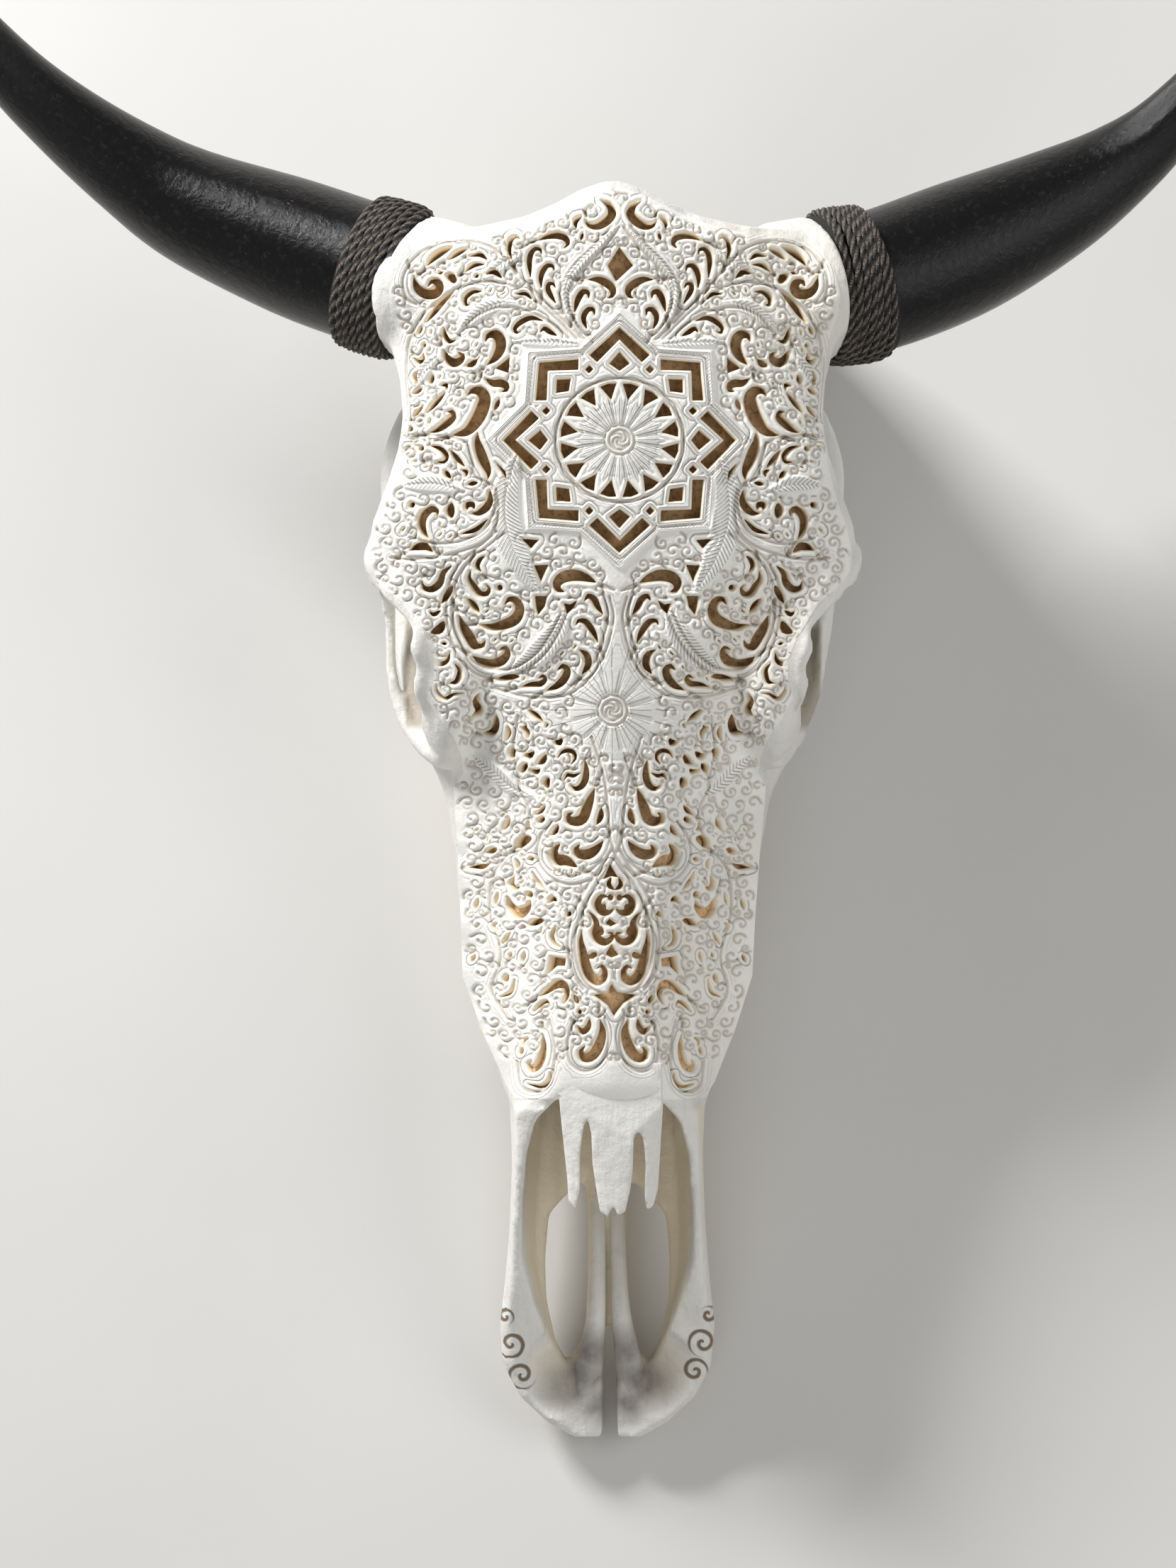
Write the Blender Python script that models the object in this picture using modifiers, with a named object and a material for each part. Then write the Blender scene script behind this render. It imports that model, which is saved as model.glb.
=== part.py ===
"""A carved cow skull with black horns, face up, resting on its cheek teeth.

Everything is modelled in the skull's own frame: X across, Y from the nose to the poll, Z out of the
face, with Z = 0 at the plane of the forehead. One empty then tips the whole skull back by REST_TILT,
which is how a skull without its lower jaw lies on a table. Sizes are in millimetres, times MM.
"""

import math

import bmesh
import bpy
from mathutils import Matrix, Vector

MM = 0.001

# Driving sizes
REST_TILT = math.radians(12.0)
TABLE_DEPTH = 144.0
GAP = 0.4
HORN_BASE_RADIUS = 28.3
SHEATH_WALL = 4.0
CORD_THICKNESS = 3.4
CORD_TURNS = 7
BONE_VOXEL = 2.2
BONE_FACES_KEPT = 0.0130
POCKET_DEPTH = 6.0

# Half the width of the skull from above, from the poll to the end of the snout: (y, half width)
FOREHEAD_HALF_WIDTHS = (
    (209.0, 4.0), (206.0, 13.0), (201.0, 22.0), (195.5, 35.0), (191.5, 54.0), (190.0, 74.0),
    (186.0, 86.0), (176.0, 92.5), (164.0, 94.0), (153.0, 93.0), (143.0, 88.0), (130.0, 84.5),
    (116.0, 83.5), (104.0, 85.0), (90.0, 89.5), (74.0, 95.5), (58.0, 98.5), (48.0, 97.0),
    (38.0, 89.0), (28.0, 76.0), (12.0, 66.0), (-8.0, 60.0), (-28.0, 52.0),
)


def midline(y):
    """The skull grew a little crooked: its midline leans to the left along the face."""
    if y > 60.0:
        return -1.0
    lean = min(1.0, (60.0 - y) / 120.0)
    return -1.0 - 2.0 * lean * lean * (3.0 - 2.0 * lean)


def blend(pairs, y):
    """Reads a value at y from (y, value) pairs listed from the poll down, with soft joins."""
    if y >= pairs[0][0]:
        return pairs[0][1]
    for (y0, v0), (y1, v1) in zip(pairs, pairs[1:]):
        if y1 <= y <= y0:
            t = (y0 - y) / (y0 - y1)
            return v0 + (v1 - v0) * t
    return pairs[-1][1]


def smooth_path(points, steps):
    """Points on a smooth curve through the given ones."""
    pts = [Vector(p) for p in points]
    pts = [2 * pts[0] - pts[1]] + pts + [2 * pts[-1] - pts[-2]]
    path = []
    for p0, p1, p2, p3 in zip(pts, pts[1:], pts[2:], pts[3:]):
        for i in range(steps):
            t = i / steps
            a = 2 * p1 + (p2 - p0) * t
            b = (2 * p0 - 5 * p1 + 4 * p2 - p3) * t * t
            c = (3 * p1 - p0 - 3 * p2 + p3) * t * t * t
            path.append((a + b + c) / 2)
    path.append(pts[-2])
    return path


def new_collection(name):
    collection = bpy.data.collections.new(name)
    bpy.context.scene.collection.children.link(collection)
    return collection


def new_object(name, mesh, collection, parent=None):
    obj = bpy.data.objects.new(name, mesh)
    collection.objects.link(obj)
    obj.parent = parent
    return obj


def hide_cutter(obj):
    obj.hide_render = True
    obj.display_type = "WIRE"


def material(name, color, roughness, metallic=0.0):
    mat = bpy.data.materials.new(name)
    mat.use_nodes = True
    shader = mat.node_tree.nodes["Principled BSDF"]
    shader.inputs["Base Color"].default_value = (*color, 1.0)
    shader.inputs["Roughness"].default_value = roughness
    shader.inputs["Metallic"].default_value = metallic
    return mat


def add_lump(bm, centre, radii, turn=(0.0, 0.0, 0.0), segments=24):
    """An egg-shaped lump of bone."""
    place = Matrix.Translation(Vector(centre) * MM)
    spin = Matrix.Rotation(math.radians(turn[2]), 4, "Z")
    spin = spin @ Matrix.Rotation(math.radians(turn[1]), 4, "Y")
    spin = spin @ Matrix.Rotation(math.radians(turn[0]), 4, "X")
    stretch = Matrix.Diagonal((*[r * MM for r in radii], 1.0))
    bmesh.ops.create_uvsphere(
        bm, u_segments=segments, v_segments=segments // 2, radius=1.0, matrix=place @ spin @ stretch
    )


def add_bar(bm, points, radii, steps=4):
    """A bar of bone along a smooth path, with a radius at each given point and round ends."""
    path = smooth_path(points, steps)
    sizes = smooth_path([(r, 0.0, 0.0) for r in radii], steps)
    curve = bpy.data.curves.new("bar", "CURVE")
    curve.dimensions = "3D"
    curve.bevel_depth = MM
    curve.bevel_resolution = 4
    curve.use_fill_caps = True
    spline = curve.splines.new("POLY")
    spline.points.add(len(path) - 1)
    for point, at, size in zip(spline.points, path, sizes):
        point.co = (*(at * MM), 1.0)
        point.radius = max(0.4, size.x)
    holder = bpy.data.objects.new("bar", curve)
    bpy.context.scene.collection.objects.link(holder)
    graph = bpy.context.evaluated_depsgraph_get()
    mesh = bpy.data.meshes.new_from_object(holder.evaluated_get(graph))
    bm.from_mesh(mesh)
    bmesh.ops.remove_doubles(bm, verts=bm.verts, dist=0.00001)
    bpy.data.objects.remove(holder)
    bpy.data.curves.remove(curve)
    bpy.data.meshes.remove(mesh)
    add_lump(bm, path[0], [max(0.4, sizes[0].x)] * 3, segments=12)
    add_lump(bm, path[-1], [max(0.4, sizes[-1].x)] * 3, segments=12)


def add_loft(bm, rings):
    """A closed solid through rings of points that all have the same count."""
    loops = [[bm.verts.new(Vector(p) * MM) for p in ring] for ring in rings]
    count = len(loops[0])
    faces = []
    for low, high in zip(loops, loops[1:]):
        for i in range(count):
            j = (i + 1) % count
            faces.append(bm.faces.new((low[i], low[j], high[j], high[i])))
    faces.append(bm.faces.new(loops[0][::-1]))
    faces.append(bm.faces.new(loops[-1]))
    bmesh.ops.recalc_face_normals(bm, faces=faces)


def add_ring_loft(bm, rings):
    """A closed band: the last ring joins the first one again."""
    loops = [[bm.verts.new(Vector(p) * MM) for p in ring] for ring in rings]
    count = len(loops[0])
    faces = []
    for low, high in zip(loops, loops[1:] + loops[:1]):
        for i in range(count):
            j = (i + 1) % count
            faces.append(bm.faces.new((low[i], low[j], high[j], high[i])))
    bmesh.ops.recalc_face_normals(bm, faces=faces)


def add_plate(bm, outline, z_low, z_high):
    """A flat plate with the outline's shape between two heights."""
    verts = [bm.verts.new((x * MM, y * MM, z_low * MM)) for x, y in outline]
    face = bm.faces.new(verts)
    grown = bmesh.ops.extrude_face_region(bm, geom=[face])
    top = [v for v in grown["geom"] if isinstance(v, bmesh.types.BMVert)]
    bmesh.ops.translate(bm, verts=top, vec=(0.0, 0.0, (z_high - z_low) * MM))
    sides = {f for v in verts + top for f in v.link_faces}
    bmesh.ops.recalc_face_normals(bm, faces=list(sides))


def mirrored(half):
    """A full ring from the points of its right half, listed from the top middle to the bottom."""
    return half + [(-x, z) for x, z in reversed(half) if x > 0.01]


def ring_at(y, half):
    return [(midline(y) + x, y, z) for x, z in mirrored(half)]


# The forehead: a broad plate, domed from side to side, with rounded edges. (y, height of its
# middle), (y, how fast it falls away to the sides) and (y, thickness)
CROWN_HEIGHTS = (
    (209.0, -9.0), (200.0, -3.0), (188.0, 0.0), (150.0, 1.5), (100.0, 3.0), (60.0, 1.5),
    (30.0, -1.0), (0.0, -4.0), (-30.0, -6.0), (-150.0, -5.0), (-200.0, -10.0),
)
CROWN_FALLS = (
    (209.0, 0.0022), (150.0, 0.0013), (100.0, 0.0012), (60.0, 0.0015), (30.0, 0.0030),
    (0.0, 0.0060), (-30.0, 0.0085), (-70.0, 0.0105), (-150.0, 0.0150),
)
FOREHEAD_THICKNESS = (
    (209.0, 30.0), (195.0, 46.0), (150.0, 34.0), (110.0, 24.0), (60.0, 24.0), (20.0, 34.0),
    (-28.0, 30.0),
)
FOREHEAD_SIDES = 28


def dorsal_z(x, y):
    """Height of the carved surface of forehead and face at a place seen from above."""
    across = abs(x - midline(y))
    return blend(CROWN_HEIGHTS, y) - blend(CROWN_FALLS, y) * across * across


def forehead(bm):
    """The frontal plate is lofted in slices, each a flattened oval under the domed surface."""
    rings = []
    for y, half_width in FOREHEAD_HALF_WIDTHS:
        thick = blend(FOREHEAD_THICKNESS, y)
        ring = []
        for i in range(FOREHEAD_SIDES):
            a = 2 * math.pi * i / FOREHEAD_SIDES
            c = math.cos(a)
            s = math.sin(a)
            x = half_width * math.copysign(abs(c) ** 0.55, c)
            z = 0.5 * thick * math.copysign(abs(s) ** 0.7, s)
            top = dorsal_z(midline(y) + x, y)
            ring.append((midline(y) + x, y, top - 0.5 * thick + z))
        rings.append(ring)
    add_loft(bm, rings)


# The face: nasal roof, cheeks, tooth-bearing edges and snout, as (x, z) of each right half
FACE_SLICES = (
    (74.0, ((0, -8), (22, -12), (36, -26), (42, -46), (40, -76), (34, -104), (24, -110), (0, -108))),
    (44.0, ((0, -6), (30, -8), (52, -22), (60, -45), (58, -80), (50, -112), (30, -118), (0, -112))),
    (12.0, ((0, -3), (28, -8), (50, -22), (66, -50), (68, -78), (57, -120), (36, -126), (0, -112))),
    (-12.0, ((0, -5), (26, -10), (46, -25), (64, -50), (69, -76), (56, -124), (34, -126), (0, -108))),
    (-30.0, ((0, -6), (24, -11), (43, -28), (60, -54), (66, -76), (55, -121), (33, -122), (0, -105))),
    (-61.0, ((0, -6), (22, -11), (39, -30), (53, -55), (61, -79), (54, -115), (31, -116), (0, -100))),
    (-85.0, ((0, -5), (20, -10), (37, -30), (51, -56), (59, -80), (52, -110), (30, -111), (0, -96))),
    (-107.0, ((0, -4), (19, -9), (35, -29), (48, -54), (58, -80), (50, -106), (29, -107), (0, -93))),
    (-129.0, ((0, -4), (19, -9), (34, -27), (44, -50), (51, -74), (47, -101), (28, -102), (0, -90))),
    (-147.0, ((0, -5), (21, -9), (34, -22), (39, -42), (43, -64), (40, -96), (26, -97), (0, -87))),
    (-158.0, ((0, -8), (24, -10), (36, -20), (38, -38), (39, -58), (36, -92), (24, -93), (0, -85))),
    (-180.0, ((0, -24), (24, -22), (36.5, -25), (38, -40), (38, -58), (35, -88), (24, -89), (0, -82))),
    (-205.0, ((0, -34), (24, -33), (37.5, -34), (39, -46), (39, -60), (36, -84), (25, -85), (0, -79))),
    (-228.0, ((0, -45), (24, -44), (38.5, -44), (40.5, -54), (41, -64), (38, -80), (26, -81), (0, -77))),
    (-246.0, ((0, -55), (24, -54), (40, -53), (43, -60), (43, -67), (39, -77), (26, -79), (0, -76))),
    (-262.0, ((0, -61), (22, -61), (38, -58), (42, -64), (41, -69), (37, -75), (24, -77), (0, -76))),
    (-275.0, ((0, -64), (18, -64), (30, -61), (35, -65), (35, -70), (30, -75), (20, -77), (0, -76))),
    (-286.0, ((0, -66), (12, -66), (20, -63), (23, -66), (23, -70), (20, -74), (12, -76), (0, -75))),
    (-291.0, ((0, -67), (7, -67), (11, -65), (13, -67), (14, -70), (12, -73), (7, -74), (0, -74))),
)


def face(bm):
    rings = []
    for y, half in FACE_SLICES:
        sole_x, sole_z = half[6]
        floor_z = half[7][1]
        vault = (sole_x * 0.72, floor_z - 2.0)
        rings.append(ring_at(y, list(half[:7]) + [vault, half[7]]))
    add_loft(bm, rings)


def face_z(x, y):
    """Height of the face's upper side, read across and between its slices."""
    across = abs(x - midline(y))
    heights = []
    for slice_y, half in FACE_SLICES:
        sides = [(px, pz) for px, pz in half[:5]]
        z = sides[-1][1]
        for (x0, z0), (x1, z1) in zip(sides, sides[1:]):
            if x0 <= across <= x1:
                z = z0 + (z1 - z0) * (across - x0) / (x1 - x0)
                break
        heights.append((slice_y, z))
    return blend(heights, y)


def surface_z(x, y):
    """Height of the bone where the carving is cut, seen from above."""
    if y > 44.0:
        return dorsal_z(x, y)
    half_width = blend(FOREHEAD_HALF_WIDTHS, y)
    if y < -28.0 or abs(x - midline(y)) > half_width - 6.0:
        return face_z(x, y)
    return max(dorsal_z(x, y), face_z(x, y))


def braincase(bm):
    """The vault under the forehead and the back of the skull, down to the neck joint."""
    add_lump(bm, (-1, 120, -66), (54, 82, 58))
    add_lump(bm, (-1, 62, -62), (46, 62, 52))
    add_lump(bm, (-1, 168, -84), (74, 24, 68))
    add_lump(bm, (-1, 173, -30), (88, 22, 27))
    add_lump(bm, (-1, 170, -122), (64, 24, 32))
    add_bar(bm, ((-1, 188, -146), (-1, 150, -143), (-1, 95, -126)), (17, 18, 16))
    for side in (-1, 1):
        add_lump(bm, (side * 21 - 1, 194, -139), (14, 15, 23), turn=(20, side * 14, 0))
        add_bar(
            bm,
            ((side * 52 - 1, 172, -118), (side * 54 - 1, 172, -146), (side * 50 - 1, 170, -176)),
            (17, 13, 7.0),
        )
        add_lump(bm, (side * 36 - 1, 138, -134), (11, 17, 17), turn=(-14, 0, 0))
        add_lump(bm, (side * 60 - 1, 148, -108), (17, 20, 24))
        add_lump(bm, (side * 80 - 1, 167, -36), (20, 26, 28), turn=(0, side * 20, 0))


def eye_rim(side):
    """Points of the rim round an eye socket, from the brow round the front and back to it."""
    rim = (
        (84, 50, -22), (68, 32, -19), (62, 8, -22), (62, -12, -36), (66, -17, -52), (75, -8, -68),
        (81, 16, -74), (82, 38, -72), (87, 54, -58), (91, 61, -38), (90, 58, -26),
    )
    return [(midline(y) + side * x, y, z) for x, y, z in rim]


def cheek_arches(bm):
    """Eye-socket rims, the cheekbones below them and the arches that run back to the ears."""
    for side in (-1, 1):
        add_lump(bm, (side * 62 - 1.5, 14, -44), (17, 36, 34))
        add_bar(bm, eye_rim(side), (9, 7.5, 7, 7, 7, 6, 5.5, 5.5, 7, 8, 9), steps=3)
        arch = (
            (68, -8, -74), (79, 22, -82), (84, 55, -85), (86, 80, -90), (85, 100, -94),
            (72, 118, -97), (52, 126, -97),
        )
        add_bar(
            bm,
            [(midline(y) + side * x, y, z) for x, y, z in arch],
            (11, 8, 7, 7, 8, 13, 15),
            steps=3,
        )
        crest = ((66, -8, -68), (58, -32, -78), (54, -62, -83), (52, -96, -84))
        add_bar(
            bm,
            [(midline(y) + side * x, y, z) for x, y, z in crest],
            (11, 8, 6, 6),
            steps=3,
        )
        add_lump(bm, (side * 68 - 1, 112, -101), (20, 13, 9))


def throat(bm):
    """The thin wings of bone behind the palate."""
    for side in (-1, 1):
        add_lump(bm, (side * 25 - 1.5, 44, -112), (5, 48, 30), turn=(-8, side * 4, 0))
        add_lump(bm, (side * 24 - 1.5, 78, -124), (4.5, 22, 18), turn=(-20, 0, 0))


# The inside of the nose: y, then half width and height of its roof and of its floor
NASAL_PASSAGE = (
    (30.0, 13, -34, 13, -88), (-10.0, 18, -26, 18, -88), (-60.0, 24, -19, 25, -86),
    (-110.0, 25, -16, 25, -80), (-150.0, 27, -14, 25, -76), (-200.0, 28, -14, 27, -73),
    (-240.0, 24, -14, 22, -69), (-256.0, 14, -14, 12, -67),
)


def nasal_passage(bm):
    rings = []
    for y, top_x, top_z, low_x, low_z in NASAL_PASSAGE:
        m = midline(y)
        rings.append([
            (m + top_x * 0.5, y, top_z), (m + top_x, y, top_z - 7), (m + low_x + 1, y, low_z + 12),
            (m + low_x * 0.7, y, low_z), (m - low_x * 0.7, y, low_z), (m - low_x - 1, y, low_z + 12),
            (m - top_x, y, top_z - 7), (m - top_x * 0.5, y, top_z),
        ])
    add_loft(bm, rings)


def hollows(bm):
    """Eye sockets, the inside of the nose, the way to the throat and the hole for the spine."""
    for side in (-1, 1):
        add_lump(bm, (side * 94 - 1.5, 23, -44), (34, 33, 27), turn=(0, side * 8, 0), segments=32)
        add_bar(bm, ((side * 77 - 1.5, 24, -47), (side * 71 - 1.5, 54, -53), (side * 72 - 1, 88, -58)),
                (21, 19, 15))
        add_lump(bm, (side * 77.5 - 1.5, 12, -24), (5.8, 21, 34))
    nasal_passage(bm)
    nose_opening(bm)
    add_bar(bm, ((-1.5, 96, -108), (-2, 50, -98), (-2, 8, -74)), (13, 14, 12))
    add_bar(bm, ((-1, 230, -138), (-1, 190, -124), (-1, 150, -92)), (19, 17, 15))


NOSE_OPENING = (
    (20, -154), (28.5, -163), (32, -176), (33.5, -196), (34, -219), (31, -236), (26.5, -250),
    (20, -262), (9, -266),
)
PALATE_SLIT = (
    (8.5, -187), (18, -196), (23.5, -202), (25, -220), (24.5, -236), (21, -252), (16, -262),
    (9, -250), (7.8, -229), (7.5, -207),
)


def nose_opening(bm):
    """The open top of the snout, with walls that lean in, and the two long slits in its floor."""
    half = list(NOSE_OPENING)
    outline = half + [(-x, y) for x, y in reversed(half)]
    rings = []
    for z, shrink in ((14.0, 1.0), (-40.0, 1.0), (-70.0, 0.84)):
        rings.append([(midline(y) + x * shrink, y, z) for x, y in outline])
    add_loft(bm, rings)
    for side in (-1, 1):
        slit = [(midline(y) + side * x, y) for x, y in PALATE_SLIT]
        add_plate(bm, slit, -110.0, -50.0)
        add_lump(bm, (side * 17 - 2.8, -262, -56), (15, 17, 10), turn=(14, 0, 0))
    wedge = [(-3.2, -214), (-2.2, -214), (1.1, -296), (-4.9, -296)]
    add_plate(bm, wedge, -110.0, -40.0)


NASAL_TIPS = (
    (19, -140), (19.5, -154), (17.5, -196), (14, -198), (9.5, -170), (7, -194), (2.5, -199),
    (-4, -199), (-8, -193), (-10.5, -166), (-14.5, -196), (-19, -196), (-20, -175), (-22, -152),
    (-22, -140),
)


def nasal_tips(bm):
    """The nasal bones end in forked points over the opening of the nose."""
    first = len(bm.verts)
    add_plate(bm, [(x - 0.5, y) for x, y in NASAL_TIPS], -4.0, 0.0)
    bm.verts.ensure_lookup_table()
    for v in bm.verts[first:]:
        x = v.co.x / MM + 1.5
        y = v.co.y / MM
        sag = 5.5 + 0.016 * x * x + max(0.0, -150.0 - y) * 0.09
        v.co.z -= sag * MM


def palate_rods(bm):
    """Two slim rods run side by side from the palate to the front of the snout."""
    for side in (-1, 1):
        rod = (
            (side * 4 - 2.5, -150, -84), (side * 3.6 - 2.8, -185, -78), (side * 3.7 - 2.8, -212, -72),
            (side * 4.2 - 2.5, -240, -69), (side * 6 - 2.2, -266, -70), (side * 9 - 2, -282, -71),
        )
        add_bar(bm, rod, (3.6, 3.3, 3.2, 3.6, 4.6, 4.2), steps=3)
    add_bar(bm, ((-2.5, -40, -84), (-2.5, -110, -80), (-2.6, -186, -77)), (4, 4, 3.4))


RIGHT_HORN_PATH = (
    (69, 165, -39), (82, 168, -44), (105, 171.5, -52), (140, 185, -60), (176, 202.5, -64),
    (202, 218.5, -64), (221.5, 235, -60), (245, 263, -50), (261, 292, -38), (269, 322, -26),
)
RIGHT_HORN_RADII = (28, HORN_BASE_RADIUS, HORN_BASE_RADIUS, 27.5, 22.5, 17, 13, 9, 5.5, 2)
LEFT_HORN_PATH = (
    (-69, 165, -39), (-81, 169, -44), (-104, 176, -52), (-131, 186, -59), (-168, 201, -64),
    (-193, 216, -64), (-220, 236, -60), (-243, 257, -54), (-268, 288, -42), (-283, 318, -30),
    (-290, 346, -20),
)
LEFT_HORN_RADII = (28, HORN_BASE_RADIUS, HORN_BASE_RADIUS, 27.5, 23.5, 19.5, 15.5, 12.5, 8.5, 5, 2)
HORNS = (("right", RIGHT_HORN_PATH, RIGHT_HORN_RADII), ("left", LEFT_HORN_PATH, LEFT_HORN_RADII))


class HornAxis:
    """The middle line of a horn, with the distance along it measured from the first point."""

    def __init__(self, path, radii):
        self.points = smooth_path(path, 12)
        self.radii = [p.x for p in smooth_path([(r, 0.0, 0.0) for r in radii], 12)]
        self.reach = [0.0]
        for a, b in zip(self.points, self.points[1:]):
            self.reach.append(self.reach[-1] + (b - a).length)

    def at(self, distance):
        """Place, direction and radius at a distance along the axis."""
        last = len(self.points) - 2
        i = 0
        while i < last and self.reach[i + 1] < distance:
            i += 1
        t = (distance - self.reach[i]) / (self.reach[i + 1] - self.reach[i])
        place = self.points[i].lerp(self.points[i + 1], t)
        radius = self.radii[i] * (1.0 - t) + self.radii[i + 1] * t
        return place, (self.points[i + 1] - self.points[i]).normalized(), radius

    def ring(self, distance, radius, sides):
        """A ring of points across the horn."""
        place, forward, full = self.at(distance)
        across = forward.cross(Vector((0.0, 0.0, 1.0))).normalized()
        up = across.cross(forward)
        points = []
        for i in range(sides):
            a = 2.0 * math.pi * i / sides
            points.append(place + (across * math.cos(a) + up * math.sin(a)) * radius)
        return points


SHEATH_START = 16.0
SHEATH_RINGS = 15
CORE_LENGTH = 88.0
BINDING_START = 13.0
BINDING_GAP = 0.7
HORN_SIDES = 14


def core_radius(distance):
    """The bony core thins steadily inside the sheath."""
    inner = HORN_BASE_RADIUS - SHEATH_WALL - GAP - 1.0
    return inner - 10.0 * (distance / CORE_LENGTH) ** 2


def horn_core(bm, axis):
    """The bony core that carries the sheath, thick where it leaves the skull."""
    neck = [(d, HORN_BASE_RADIUS + 1.5 - 0.05 * d) for d in (-4.0, BINDING_START)]
    core = [(d, core_radius(d)) for d in (BINDING_START + 0.5, 40.0, 62.0, CORE_LENGTH - 3.0)]
    add_loft(bm, [axis.ring(d, r, HORN_SIDES) for d, r in neck + core])


def horn_seat(bm, axis):
    """Room for the sheath and its binding: a deep groove round the core."""
    stations = (BINDING_START - 0.2, BINDING_START + 12.0, BINDING_START + 24.0, CORE_LENGTH + 6.0)
    outer = [(d, HORN_BASE_RADIUS + CORD_THICKNESS + 2.0) for d in stations]
    inner = [(d, core_radius(min(d, CORE_LENGTH)) + 0.3) for d in stations[::-1]]
    add_ring_loft(bm, [axis.ring(d, r, HORN_SIDES) for d, r in outer + inner])


def sheath(name, axis, collection, parent):
    """The horn itself: a long curved cone, hollow where it sits on its core."""
    bm = bmesh.new()
    length = axis.reach[-1]
    rings = []
    for i in range(SHEATH_RINGS + 1):
        d = SHEATH_START + (length - SHEATH_START) * i / SHEATH_RINGS
        rings.append(axis.ring(d, axis.at(d)[2], HORN_SIDES))
    hollow = (CORE_LENGTH + 1.0, 62.0, 40.0, SHEATH_START)
    rings = [axis.ring(d, core_radius(d) + GAP + 1.0, HORN_SIDES) for d in hollow] + rings
    add_loft(bm, rings)
    mesh = bpy.data.meshes.new(name)
    bm.to_mesh(mesh)
    bm.free()
    return new_object(name, mesh, collection, parent)


def binding(name, axis, collection, parent):
    """Turns of twisted cord wound side by side round the base of the horn, as one ridged band."""
    bm = bmesh.new()
    rings = []
    outside = []
    for i in range(CORD_TURNS):
        start = BINDING_START + 1.0 + i * CORD_THICKNESS
        outside += [(start, 1.2), (start + 0.5 * CORD_THICKNESS, CORD_THICKNESS)]
    outside.append((BINDING_START + 1.0 + CORD_TURNS * CORD_THICKNESS, 1.2))
    inside = [(d, 0.0) for d, _ in outside[::-7]]
    for d, height in outside + inside:
        rings.append(axis.ring(d, axis.at(d)[2] + BINDING_GAP + height, HORN_SIDES))
    add_ring_loft(bm, rings)
    mesh = bpy.data.meshes.new(name)
    bm.to_mesh(mesh)
    bm.free()
    return new_object(name, mesh, collection, parent)


# Cheek teeth, from the front: length along the row, width across it, and how many columns
TEETH = (
    ("premolar_1", 15.0, 14.0, 1), ("premolar_2", 17.5, 17.0, 1), ("premolar_3", 17.5, 19.0, 1),
    ("molar_1", 23.5, 22.0, 2), ("molar_2", 27.0, 23.0, 2), ("molar_3", 29.0, 22.0, 2),
)
TOOTH_ROW_FRONT = -112.0
TOOTH_ROW_LENGTH = 132.0
TOOTH_ROW_HALF_GAUGE = 33.0
TOOTH_SPACE = 0.9
TOOTH_HEIGHT = 27.0


def tooth_outline(length, width, columns, grow):
    """Seen from below: ribbed on the cheek side, one or two round columns on the tongue side."""
    half_l = 0.5 * length + grow
    half_w = 0.5 * width + grow
    outline = [(half_w * 0.86, -half_l)]
    ribs = 2 * columns + 1
    for i in range(ribs):
        along = -half_l + 2.0 * half_l * (i + 0.5) / ribs
        outline.append((half_w * (1.0 if i % 2 == 0 else 0.84), along))
    outline.append((half_w * 0.86, half_l))
    for column in range(columns):
        middle = half_l - 2.0 * half_l * (column + 0.5) / columns
        reach = half_l / columns
        outline.append((-half_w * 0.72, middle + 0.82 * reach))
        outline.append((-half_w, middle))
        outline.append((-half_w * 0.72, middle - 0.82 * reach))
    return outline


def row_x(y):
    """Distance of the tooth row's middle from the skull's midline at a place along the row."""
    t = (y - TOOTH_ROW_FRONT) / TOOTH_ROW_LENGTH
    return TOOTH_ROW_HALF_GAUGE + 11.5 * t - 3.5 * t * t


def tooth_places():
    """Name, middle of the worn face, and sizes of every cheek tooth."""
    places = []
    for side_name, side in (("left", -1), ("right", 1)):
        y = TOOTH_ROW_FRONT
        for name, length, width, columns in TEETH:
            middle = y + 0.5 * length
            x = midline(middle - 30.0) + side * row_x(middle)
            places.append((side_name + "_" + name, side, x, middle, length, width, columns))
            y += length + TOOTH_SPACE
    return places


def add_tooth(bm, side, x, y, length, width, columns, grow, low, high):
    """A tooth, or with grow above nought the socket that it fits."""
    outline = tooth_outline(length, width, columns, grow)
    rings = [[(x + side * px, y + py, z) for px, py in outline] for z in (low, high)]
    add_loft(bm, rings)


def sockets(bm):
    for _, side, x, y, length, width, columns in tooth_places():
        add_tooth(bm, side, x, y, length, width, columns, GAP, -4.0, TOOTH_HEIGHT + GAP)


# The carving. Places are pixels in the photograph, which looks straight at the face plane.
PHOTO_MIDDLE = 868.0
PHOTO_LEVEL = 1000.0
PHOTO_SCALE = 0.28
STAR_CENTRE = (874.0, 621.0)
PATTERN_LEAN = 0.0092


def from_photo(px, py):
    return (px - PHOTO_MIDDLE) * PHOTO_SCALE, (PHOTO_LEVEL - py) * PHOTO_SCALE


def pattern_middle(py):
    """The pattern is the same on both sides of this line, which leans a little to the left."""
    return STAR_CENTRE[0] - (py - STAR_CENTRE[1]) * PATTERN_LEAN


def polar(centre, radius, degrees):
    a = math.radians(degrees)
    return centre[0] + radius * math.cos(a), centre[1] - radius * math.sin(a)


def crescent(px, py, radius, start, end, width):
    """A curved hole beside a curl: widest in the middle, with a point at each end."""
    steps = 4 if width > 10 else 3
    outer = []
    inner = []
    for i in range(steps + 1):
        t = i / steps
        swell = 0.5 * width * math.sin(math.pi * t) ** 0.7
        angle = start + (end - start) * t
        outer.append(polar((px, py), radius + swell, angle))
        inner.append(polar((px, py), radius - swell, angle))
    return outer + inner[-2:0:-1]


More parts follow.
